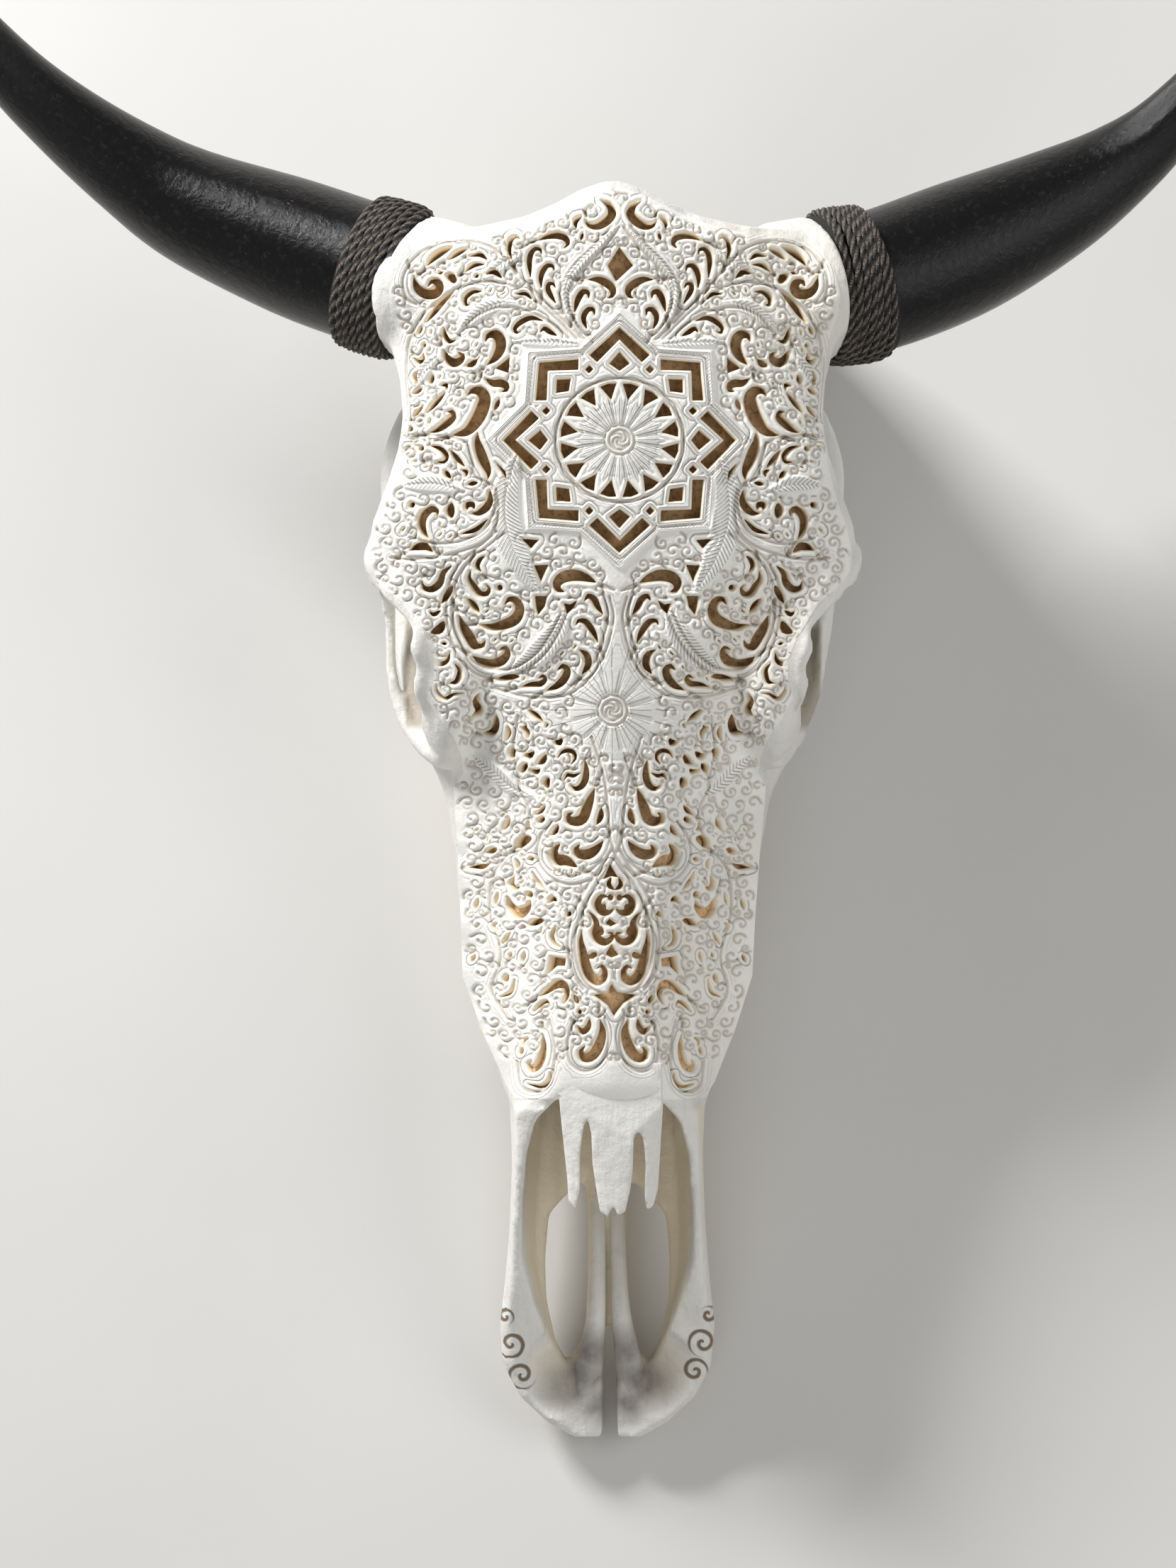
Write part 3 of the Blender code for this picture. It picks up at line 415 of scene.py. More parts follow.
def throat(bm):
    """The thin wings of bone behind the palate."""
    for side in (-1, 1):
        add_lump(bm, (side * 25 - 1.5, 44, -112), (5, 48, 30), turn=(-8, side * 4, 0))
        add_lump(bm, (side * 24 - 1.5, 78, -124), (4.5, 22, 18), turn=(-20, 0, 0))


# The inside of the nose: y, then half width and height of its roof and of its floor
NASAL_PASSAGE = (
    (30.0, 13, -34, 13, -88), (-10.0, 18, -26, 18, -88), (-60.0, 24, -19, 25, -86),
    (-110.0, 25, -16, 25, -80), (-150.0, 27, -14, 25, -76), (-200.0, 28, -14, 27, -73),
    (-240.0, 24, -14, 22, -69), (-256.0, 14, -14, 12, -67),
)


def nasal_passage(bm):
    rings = []
    for y, top_x, top_z, low_x, low_z in NASAL_PASSAGE:
        m = midline(y)
        half = [(top_x * 0.5, top_z), (top_x, top_z - 7), (low_x + 1, low_z + 12), (low_x * 0.7, low_z)]
        half += [(-x, z) for x, z in reversed(half)]
        rings.append([(m + x, y, z) for x, z in half])
    add_loft(bm, rings)


def hollows(bm):
    """Eye sockets, the inside of the nose, the way to the throat and the hole for the spine."""
    for side in (-1, 1):
        add_lump(bm, (side * 94 - 1.5, 23, -44), (34, 33, 27), turn=(0, side * 8, 0), segments=32)
        add_bar(bm, ((side * 77 - 1.5, 24, -47), (side * 71 - 1.5, 54, -53), (side * 72 - 1, 88, -58)),
                (21, 19, 15))
        add_lump(bm, (side * 81.8 - 1.5, 10, -44), (4.6, 23, 24))
    nasal_passage(bm)
    nose_opening(bm)
    add_bar(bm, ((-1.5, 96, -108), (-2, 50, -98), (-2, 8, -74)), (13, 14, 12))
    add_bar(bm, ((-1, 230, -138), (-1, 190, -124), (-1, 150, -92)), (19, 17, 15))


# Right halves of the open nose and of the slits in the palate, as (x, y)
NOSE_OPENING = (
    (20, -154), (28.5, -163), (32, -176), (33.5, -196), (34, -219), (31, -236), (26.5, -250),
    (20, -262), (9, -266),
)
PALATE_SLIT = (
    (8.5, -187), (18, -196), (23.5, -202), (25, -220), (24.5, -236), (21, -252), (16, -262),
    (9, -250), (7.8, -229), (7.5, -207),
)


def nose_opening(bm):
    """The open top of the snout, with walls that lean in, and the two long slits in its floor."""
    half = list(NOSE_OPENING)
    outline = half + [(-x, y) for x, y in reversed(half)]
    rings = []
    for z, shrink in ((14.0, 1.0), (-40.0, 1.0), (-70.0, 0.84)):
        rings.append([(midline(y) + x * shrink, y, z) for x, y in outline])
    add_loft(bm, rings)
    for side in (-1, 1):
        slit = [(midline(y) + side * x, y) for x, y in PALATE_SLIT]
        add_plate(bm, slit, -110.0, -50.0)
        add_lump(bm, (side * 18 - 2.6, -267, -55), (19, 20, 13.5), turn=(8, 0, 0))
    wedge = [(-3.3, -200), (-2.2, -200), (1.4, -296), (-5.2, -296)]
    add_plate(bm, wedge, -110.0, -40.0)


# Outline of the front end of the nasal bones, as (x, y)
NASAL_TIPS = (
    (19, -140), (19.5, -156), (17.5, -190), (15.5, -197), (13, -198.5), (12, -192), (12.5, -180),
    (11.5, -170), (9.5, -166), (7.8, -170), (7.5, -182), (6.5, -190), (4.5, -199), (1.5, -200.5),
    (-0.5, -196), (-2.5, -201), (-5.5, -199), (-7, -190), (-8.5, -180), (-9, -168), (-10.5, -161.5),
    (-12, -165), (-13.5, -176), (-13.5, -190), (-15.5, -198), (-18, -195), (-18.5, -186),
    (-20, -172), (-22, -152), (-22, -140),
)


def nasal_tips(bm):
    """The nasal bones end in forked points over the opening of the nose."""
    first = len(bm.verts)
    add_plate(bm, [(x - 0.5, y) for x, y in NASAL_TIPS], -4.0, 0.0)
    bm.verts.ensure_lookup_table()
    for v in bm.verts[first:]:
        x = v.co.x / MM + 1.5
        y = v.co.y / MM
        steeper = min(1.0, max(0.0, (-150.0 - y) / 35.0))
        sag = 4.9 + (0.009 + 0.007 * steeper) * x * x + max(0.0, -150.0 - y) * 0.09
        v.co.z -= sag * MM


def rounded_tips():
    """The tips again, fused on a finer grid, so that the slits between them stay open."""
    tips = mesh_object("tips", (nasal_tips,))
    fuse(tips, TIP_VOXEL)
    soften = tips.modifiers.new("soften", "SMOOTH")
    soften.factor = 0.5
    soften.iterations = 3
    settle(tips)
    return tips


def palate_ridge(bm):
    """The low ridge along the middle of the palate, which the two rods grow from."""
    add_bar(bm, ((-2.5, -40, -84), (-2.5, -110, -80), (-2.6, -186, -77)), (4, 4, 3.4))


def palate_rods(bm):
    """Two slim rods run side by side to the front of the snout, with a narrow gap between them."""
    for side in (-1, 1):
        rod = (
            (side * 4.2 - 2.5, -150, -84), (side * 3.9 - 2.8, -185, -78), (side * 4.0 - 2.8, -212, -72),
            (side * 4.8 - 2.5, -238, -68), (side * 6.6 - 2.3, -254, -69.3), (side * 8.2 - 2.3, -264, -70),
            (side * 9.2 - 2.3, -275, -71.4), (side * 9.6 - 2.2, -285, -72),
        )
        add_bar(bm, rod, (3.5, 3.2, 3.1, 3.6, 4.8, 5.6, 5.2, 4.4), steps=8, around=20)


# %% [markdown]
# ## Horn lines
# Each horn sweeps out, back and up along its own curve, a little different on the two sides. The bone
# needs these lines for its stumps, and the sheaths and cords need them later.

# %% Lines of the horns
HORN_BASE_RADIUS = 28.3
CORD_THICKNESS = 3.4
BINDING_START = 13.0
BINDING_WIDTH = 24.0
SEAT_END = 94.0
RIGHT_HORN_PATH = (
    (69, 165, -39), (82, 168, -44), (105, 171.5, -52), (140, 185, -60), (176, 202.5, -64),
    (202, 218.5, -64), (221.5, 235, -60), (245, 263, -50), (261, 292, -38), (269, 322, -26),
)
RIGHT_HORN_RADII = (28, HORN_BASE_RADIUS, HORN_BASE_RADIUS, 27.5, 22.5, 17, 13, 9, 5.5, 2)
LEFT_HORN_PATH = (
    (-69, 165, -39), (-81, 169, -44), (-104, 176, -52), (-131, 186, -59), (-168, 201, -64),
    (-193, 216, -64), (-220, 236, -60), (-243, 257, -54), (-268, 288, -42), (-283, 318, -30),
    (-290, 346, -20),
)
LEFT_HORN_RADII = (28, HORN_BASE_RADIUS, HORN_BASE_RADIUS, 27.5, 23.5, 19.5, 15.5, 12.5, 8.5, 5, 2)


class HornLine:
    """The middle line of a horn, with the distance along it measured from the first point."""

    def __init__(self, path, radii):
        self.points = smooth_path(path, 12)
        self.radii = [p.x for p in smooth_path([(r, 0.0, 0.0) for r in radii], 12)]
        self.reach = [0.0]
        for a, b in zip(self.points, self.points[1:]):
            self.reach.append(self.reach[-1] + (b - a).length)

    def at(self, distance):
        """Place, direction and radius at a distance along the horn."""
        i = int(np.clip(np.searchsorted(self.reach, distance) - 1, 0, len(self.points) - 2))
        t = (distance - self.reach[i]) / (self.reach[i + 1] - self.reach[i])
        place = self.points[i].lerp(self.points[i + 1], t)
        radius = self.radii[i] * (1.0 - t) + self.radii[i + 1] * t
        return place, (self.points[i + 1] - self.points[i]).normalized(), radius

    def around(self, distance, angle, radius):
        """A point beside the line, at an angle round it."""
        place, forward, _ = self.at(distance)
        across = forward.cross(Vector((0.0, 0.0, 1.0))).normalized()
        up = across.cross(forward)
        return place + (across * math.cos(angle) + up * math.sin(angle)) * radius

    def ring(self, distance, radius, sides):
        return [self.around(distance, 2.0 * math.pi * i / sides, radius) for i in range(sides)]


HORN_LINES = {
    "right": HornLine(RIGHT_HORN_PATH, RIGHT_HORN_RADII),
    "left": HornLine(LEFT_HORN_PATH, LEFT_HORN_RADII),
}
print("horn lengths:", {side: round(line.reach[-1]) for side, line in HORN_LINES.items()}, "mm")

# %% [markdown]
# ## One bone
# The lumps are fused, the hollows are taken out, and the thin pieces are added and fused in again. A
# short smoothing then rounds every join the way growth does. The stumps of the horns end where the
# cord begins.

# %% Fuse the bone


def horn_stumps(bm):
    for line in HORN_LINES.values():
        stations = (-4.0, 4.0, BINDING_START)
        add_loft(bm, [line.ring(d, HORN_BASE_RADIUS + 1.5 - 0.05 * d, 32) for d in stations])


def horn_seats(bm):
    """The room that sheath and cord take."""
    for line in HORN_LINES.values():
        binding = [BINDING_START + share * BINDING_WIDTH for share in (0.5, 1.0)]
        stations = (BINDING_START - 0.2, *binding, SEAT_END)
        wide = HORN_BASE_RADIUS + CORD_THICKNESS + 2.0
        add_loft(bm, [line.ring(d, wide, 48) for d in stations])


bone = mesh_object("bone", (forehead, face, braincase, cheek_arches, throat))
fuse(bone, BONE_VOXEL)
room = mesh_object("room", (hollows,))
fuse(room, BONE_VOXEL)
settle(room)
cut_away(bone, room)
thin = mesh_object("thin_pieces", (palate_ridge, horn_stumps))
grown = bmesh.new()
grown.from_mesh(bone.data)
grown.from_mesh(thin.data)
grown.to_mesh(bone.data)
grown.free()
bpy.data.objects.remove(thin)
fuse(bone, BONE_VOXEL)
soften = bone.modifiers.new("soften", "SMOOTH")
soften.factor = 0.5
soften.iterations = 5
settle(bone)
cut_away(bone, mesh_object("seats", (horn_seats,)))
print("bone faces:", len(bone.data.polygons))

# %% [markdown]
# ## The surface that the carver drew on
# The bone is sounded from above on a fine net, like a sea bed. The net is smoothed a little, and any
# place of the drawing can then be looked up on it, with its slope.

# %% Sound the bone from above
NET_STEP = 2.0
NET_X0 = -112.0
NET_Y0 = -170.0
NET_COLUMNS = 113
NET_ROWS = 195


def sound(obj):
    tree = BVHTree.FromObject(obj, bpy.context.evaluated_depsgraph_get())
    net = np.full((NET_ROWS, NET_COLUMNS), np.nan)
    down = Vector((0.0, 0.0, -1.0))
    for j in range(NET_ROWS):
        for i in range(NET_COLUMNS):
            start = Vector((NET_X0 + i * NET_STEP, NET_Y0 + j * NET_STEP, 40.0)) * MM
            hit = tree.ray_cast(start, down)[0]
            if hit is not None and hit.z > -0.06:
                net[j, i] = hit.z / MM
    return net


def fill_gaps(net):
    """Carries the heights on past the edge of the bone, falling away."""
    for _ in range(40):
        empty = np.isnan(net)
        if not empty.any():
            break
        padded = np.pad(net, 1, constant_values=np.nan)
        around = np.stack([padded[1:-1, :-2], padded[1:-1, 2:], padded[:-2, 1:-1], padded[2:, 1:-1]])
        known = (~np.isnan(around)).sum(axis=0)
        mean = np.where(known > 0, np.nansum(around, axis=0) / np.maximum(known, 1), np.nan)
        net = np.where(empty, mean - 1.5, net)
    return np.nan_to_num(net, nan=-60.0)


def soften_net(net, times):
    for _ in range(times):
        net = net.copy()
        net[1:-1] = 0.25 * net[:-2] + 0.5 * net[1:-1] + 0.25 * net[2:]
        net[:, 1:-1] = 0.25 * net[:, :-2] + 0.5 * net[:, 1:-1] + 0.25 * net[:, 2:]
    return net


def look_up(table, column, row):
    """Reads a table between its entries, at places given as column and row numbers."""
    column = np.clip(column, 0.0, table.shape[1] - 1.001)
    row = np.clip(row, 0.0, table.shape[0] - 1.001)
    i = column.astype(int)
    j = row.astype(int)
    u = column - i
    v = row - j
    low = table[j, i] * (1.0 - u) + table[j, i + 1] * u
    high = table[j + 1, i] * (1.0 - u) + table[j + 1, i + 1] * u
    return low * (1.0 - v) + high * v


SOUNDED = sound(bone)
NET = soften_net(fill_gaps(SOUNDED), 3)
SLOPE_Y, SLOPE_X = np.gradient(NET, NET_STEP)


def height_at(px, py):
    x, y = to_face(px, py)
    return look_up(NET, (x - NET_X0) / NET_STEP, (y - NET_Y0) / NET_STEP)


def normal_at(px, py):
    x, y = to_face(px, py)
    column = (x - NET_X0) / NET_STEP
    row = (y - NET_Y0) / NET_STEP
    slopes = [-look_up(slope, column, row) for slope in (SLOPE_X, SLOPE_Y)]
    out = np.stack([*slopes, np.ones_like(px)], axis=-1)
    return out / np.linalg.norm(out, axis=-1, keepdims=True)


print("heights from", round(float(np.nanmin(SOUNDED)), 1), "to", round(float(np.nanmax(SOUNDED)), 1), "mm")

# %% [markdown]
# ## Border of the openwork
# The carving covers the forehead from its crest down to the end of the nasal bones. Its border is
# drawn in pixels of the photograph, right half first. The left half of this head is a little wider.

# %% The border and what lies inside it
STAR = (874.0, 621.0)
PATTERN_LEAN = 0.0092
LEFT_STRETCH = 1.03
SPREAD_LEVELS = (345.0, 600.0, 900.0, 1300.0, 1550.0)
SPREADS = (0.025, 0.03, 0.055, 0.15, 0.18)
SPREAD_REACH = 300.0
CREST = (
    (868, 262), (905, 272), (940, 290), (975, 307), (1010, 318), (1060, 330), (1110, 332), (1150, 345),
)
FLANK = (
    (1150, 345), (1176, 375), (1186, 410), (1183, 440), (1172, 470), (1166, 500), (1163, 540),
    (1160, 580), (1163, 620), (1170, 660), (1180, 700), (1195, 740), (1203, 775), (1200, 805),
    (1180, 830), (1155, 850), (1140, 875), (1125, 900), (1113, 930), (1112, 960), (1120, 985),
    (1105, 1010), (1085, 1040), (1075, 1065), (1072, 1090), (1083, 1110), (1080, 1150),
    (1075, 1200), (1068, 1300), (1064, 1380), (1040, 1455), (1010, 1530), (996, 1552),
)
CORNER_LEVEL = 345.0
FOOT_LEVEL = 1552.0


def pattern_middle(py):
    """The pattern is alike on both sides of this line, which leans a little to the left."""
    return STAR[0] - (py - STAR[1]) * PATTERN_LEAN


def left_of(px, py):
    """The place on the left half that answers to one on the right. The head spreads to its left edge."""
    away = px - pattern_middle(py)
    spread = np.interp(py, SPREAD_LEVELS, SPREADS) * (away / SPREAD_REACH) ** 2
    return pattern_middle(py) - away * (LEFT_STRETCH + spread)


def mirrored_places(points):
    return [(float(left_of(px, py)), py) for px, py in points]


def flank_x(py, side):
    px = np.interp(py, [p[1] for p in FLANK], [p[0] for p in FLANK])
    if side > 0:
        return px
    return left_of(px, py)


def crest_y(px):
    right = np.interp(px, [p[0] for p in CREST], [p[1] for p in CREST])
    flipped = mirrored_places(CREST)[::-1]
    left = np.interp(px, [p[0] for p in flipped], [p[1] for p in flipped])
    return np.where(px > PHOTO_MIDDLE, right, left)


def inside_by(px, py):
    """How far inside the border a place lies, in pixels."""
    gap = np.minimum(px - flank_x(py, -1), flank_x(py, 1) - px)
    gap = np.minimum(gap, py - crest_y(px))
    return np.minimum(gap, FOOT_LEVEL - py)


# %% [markdown]
# ## Hollow under the openwork
# Behind the carved plate the bone is spongy and brown. The skin of the fused bone is pressed down
# inside the border, so that every hole of the plate looks into a shallow brown room.

# %% Press the bone down inside the border
ROOM_DEPTHS = (5.0, 7.6)
NOSE_LEVEL = -125.0
FACE_LEVEL = -85.0


def nose_to_face(py, values):
    """Goes over from the nose's value to the one that holds for the rest of the face."""
    on_nose, on_face = values
    share = smoothstep((PHOTO_LEVEL - py) * PHOTO_SCALE, NOSE_LEVEL, FACE_LEVEL)
    return on_nose + (on_face - on_nose) * share


# Height of the rim of the open snout, from its end up to the nose
SNOUT_LEVELS = (-291.0, -275.0, -246.0, -205.0, -180.0, -158.0)
SNOUT_TOPS = (-67.0, -61.0, -53.0, -34.0, -23.0, -12.0)


def press_down(obj):
    mesh = obj.data
    count = len(mesh.vertices)
    co = np.empty(count * 3, dtype=np.float32)
    mesh.vertices.foreach_get("co", co)
    co = co.reshape(-1, 3).astype(float)
    px, py = to_pixel(co[:, 0] / MM, co[:, 1] / MM)
    ground = height_at(px, py)
    inside = inside_by(px, py) * PHOTO_SCALE
    on_top = smoothstep(co[:, 2] / MM - ground, -6.0, -3.0)
    follow = smoothstep(inside, -5.0, -1.0) * on_top
    co[:, 2] += (ground * MM - co[:, 2]) * follow
    pressed = smoothstep(inside, 1.4, 4.5) * on_top
    room = pressed * nose_to_face(py, ROOM_DEPTHS)
    co[:, 2] -= room * MM
    mesh.vertices.foreach_set("co", co.astype(np.float32).ravel())
    snout_top = np.interp(co[:, 1] / MM, SNOUT_LEVELS, SNOUT_TOPS)
    top = np.where(co[:, 1] / MM < SNOUT_LEVELS[-1], snout_top, ground)
    drop = np.where(pressed > 0.01, 0.0, top - co[:, 2] / MM - room)
    note(mesh, depth=1.6 * pressed, drop=drop, face_x=px, face_y=py)
    print("pressed down:", int((pressed > 0.5).sum()), "of", count, "points")


press_down(bone)

# %% Cut level feet and put the bone in place
SOLE = 0.0001


def thin_out(obj, most):
    """Drops points where a surface is nearly flat, down to a number of triangles."""
    thin = obj.modifiers.new("thin", "DECIMATE")
    thin.ratio = min(1.0, most / triangles(obj))
    settle(obj)


def level_feet(obj):
    """Adds the rods and the nasal tips, tips the skull back and cuts it level with the floor."""
    bm = bmesh.new()
    bm.from_mesh(obj.data)
    first = len(bm.verts)
    palate_rods(bm)
    tips = rounded_tips()
    bm.from_mesh(tips.data)
    bpy.data.objects.remove(tips)
    bm.verts.ensure_lookup_table()
    face_x = bm.verts.layers.float["face_x"]
    face_y = bm.verts.layers.float["face_y"]
    for v in bm.verts[first:]:
        v[face_x], v[face_y] = to_pixel(v.co.x / MM, v.co.y / MM)
    bm.transform(FACE)
    everything = bm.verts[:] + bm.edges[:] + bm.faces[:]
    low = bmesh.ops.bisect_plane(
        bm, geom=everything, dist=1e-6, plane_co=(0, 0, SOLE), plane_no=(0, 0, -1), clear_outer=True
    )
    rim = [e for e in low["geom_cut"] if isinstance(e, bmesh.types.BMEdge)]
    if rim:
        bmesh.ops.holes_fill(bm, edges=rim, sides=0)
    for f in bm.faces:
        f.smooth = True
    bm.to_mesh(obj.data)
    bm.free()


thin_out(bone, MOST_BONE_TRIANGLES)
level_feet(bone)
print("bone triangles:", triangles(bone))
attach(bone, "root")
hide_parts("skull")

# %% [markdown]
# ## The carver's drawing
# Everything is drawn on one sheet with a sample for each pixel of the photograph. A sheet holds, at
# each sample, the distance to the nearest hole or engraved line, so outlines stay sharp.

# %% Tools for drawing on the sheet
SHEET_X0, SHEET_Y0, SHEET_X1, SHEET_Y1 = 480, 230, 1250, 1580
WIDE = SHEET_X1 - SHEET_X0
TALL = SHEET_Y1 - SHEET_Y0
GX, GY = np.meshgrid(
    np.arange(SHEET_X0, SHEET_X1, dtype=np.float32), np.arange(SHEET_Y0, SHEET_Y1, dtype=np.float32)
)
FAR = 60.0
BEYOND = 1e3


def blank(value=FAR):
    """A sheet that has nothing drawn on it yet."""
    return np.full((TALL, WIDE), value, dtype=np.float32)


def both_sides(points):
    """A path of the right half, and the same on the left."""
    return points, mirrored_places(points)


def on_sheet(table, px, py):
    return look_up(table, px - SHEET_X0, py - SHEET_Y0)


def window(points, reach, past=1):
    """The part of the sheet within reach of some points, and the places of its samples."""
    lo = points.min(axis=0) - reach
    hi = points.max(axis=0) + reach
    i0, j0 = max(0, int(lo[0] - SHEET_X0)), max(0, int(lo[1] - SHEET_Y0))
    i1 = min(WIDE, max(i0, int(hi[0] - SHEET_X0) + past))
    j1 = min(TALL, max(j0, int(hi[1] - SHEET_Y0) + past))
    part = (slice(j0, j1), slice(i0, i1))
    return part, GX[part], GY[part]


def from_segment(gx, gy, a, b):
    """How far along a segment each sample lies, from nought to one, and how far from it."""
    ax, ay = a
    dx, dy = b - a
    t = np.clip(((gx - ax) * dx + (gy - ay) * dy) / max(dx * dx + dy * dy, 1e-6), 0, 1)
    return t, np.hypot(gx - ax - t * dx, gy - ay - t * dy)


def smooth(points, step=3.0):
    """Places about a step apart on a smooth curve through the given points."""
    p = np.array(points, dtype=float)
    if len(p) < 3:
        n = max(2, int(np.hypot(*(p[-1] - p[0])) / step) + 1)
        t = np.linspace(0, 1, n)[:, None]
        return p[0] * (1 - t) + p[-1] * t
    q = np.vstack([2 * p[0] - p[1], p, 2 * p[-1] - p[-2]])
    out = []
    for a, b, c, d in zip(q, q[1:], q[2:], q[3:]):
        n = max(2, int(np.hypot(*(c - b)) / step))
        t = np.linspace(0, 1, n, endpoint=False)[:, None]
        out.append(0.5 * (2 * b + (c - a) * t + (2 * a - 5 * b + 4 * c - d) * t * t
                          + (3 * b - a - 3 * c + d) * t ** 3))
    out.append(p[-1:])
    return np.vstack(out)


def stroke(field, points, width, taper=0.7, low=1.6, reach=26.0, even=False):
    """Keeps, at each sample, the smallest distance to the edge of a stroke that swells in its middle."""
    path = smooth(points)
    steps = np.hypot(*np.diff(path, axis=0).T)
    s = np.concatenate([[0], np.cumsum(steps)])
    s /= max(s[-1], 1e-6)
    if even:
        half = np.full(len(path), 0.5 * width)
    else:
        swell = np.sin(np.pi * np.clip(s, 0, 1)) ** taper
        half = np.maximum(0.5 * low, 0.5 * width * swell)
    part, gx, gy = window(path, width + reach)
    best = np.full(gx.shape, BEYOND, dtype=np.float32)
    for k in range(len(path) - 1):
        t, away = from_segment(gx, gy, path[k], path[k + 1])
        np.minimum(best, away - (half[k] * (1 - t) + half[k + 1] * t), out=best)
    np.minimum(field[part], best, out=field[part])


def polygon(field, points, reach=26.0):
    """The same for a flat outline."""
    p = np.array(points, dtype=float)
    part, gx, gy = window(p, reach)
    best = np.full(gx.shape, BEYOND, dtype=np.float32)
    inside = np.zeros(gx.shape, dtype=bool)
    for a, b in zip(p, np.roll(p, -1, axis=0)):
        np.minimum(best, from_segment(gx, gy, a, b)[1], out=best)
        (ax, ay), (bx, by) = a, b
        at = ax + (gy - ay) / (by - ay if by != ay else 1e-9) * (bx - ax)
        inside ^= ((ay > gy) != (by > gy)) & (gx < at)
    best = np.where(inside, -best, best)
    np.minimum(field[part], best, out=field[part])


# %% [markdown]
# ### Openings
# Most openings are hooks, like a comma: they start in a small round end and run out to a tip. They are
# listed for the right half, in pixels of the photograph, and the left half answers to them.

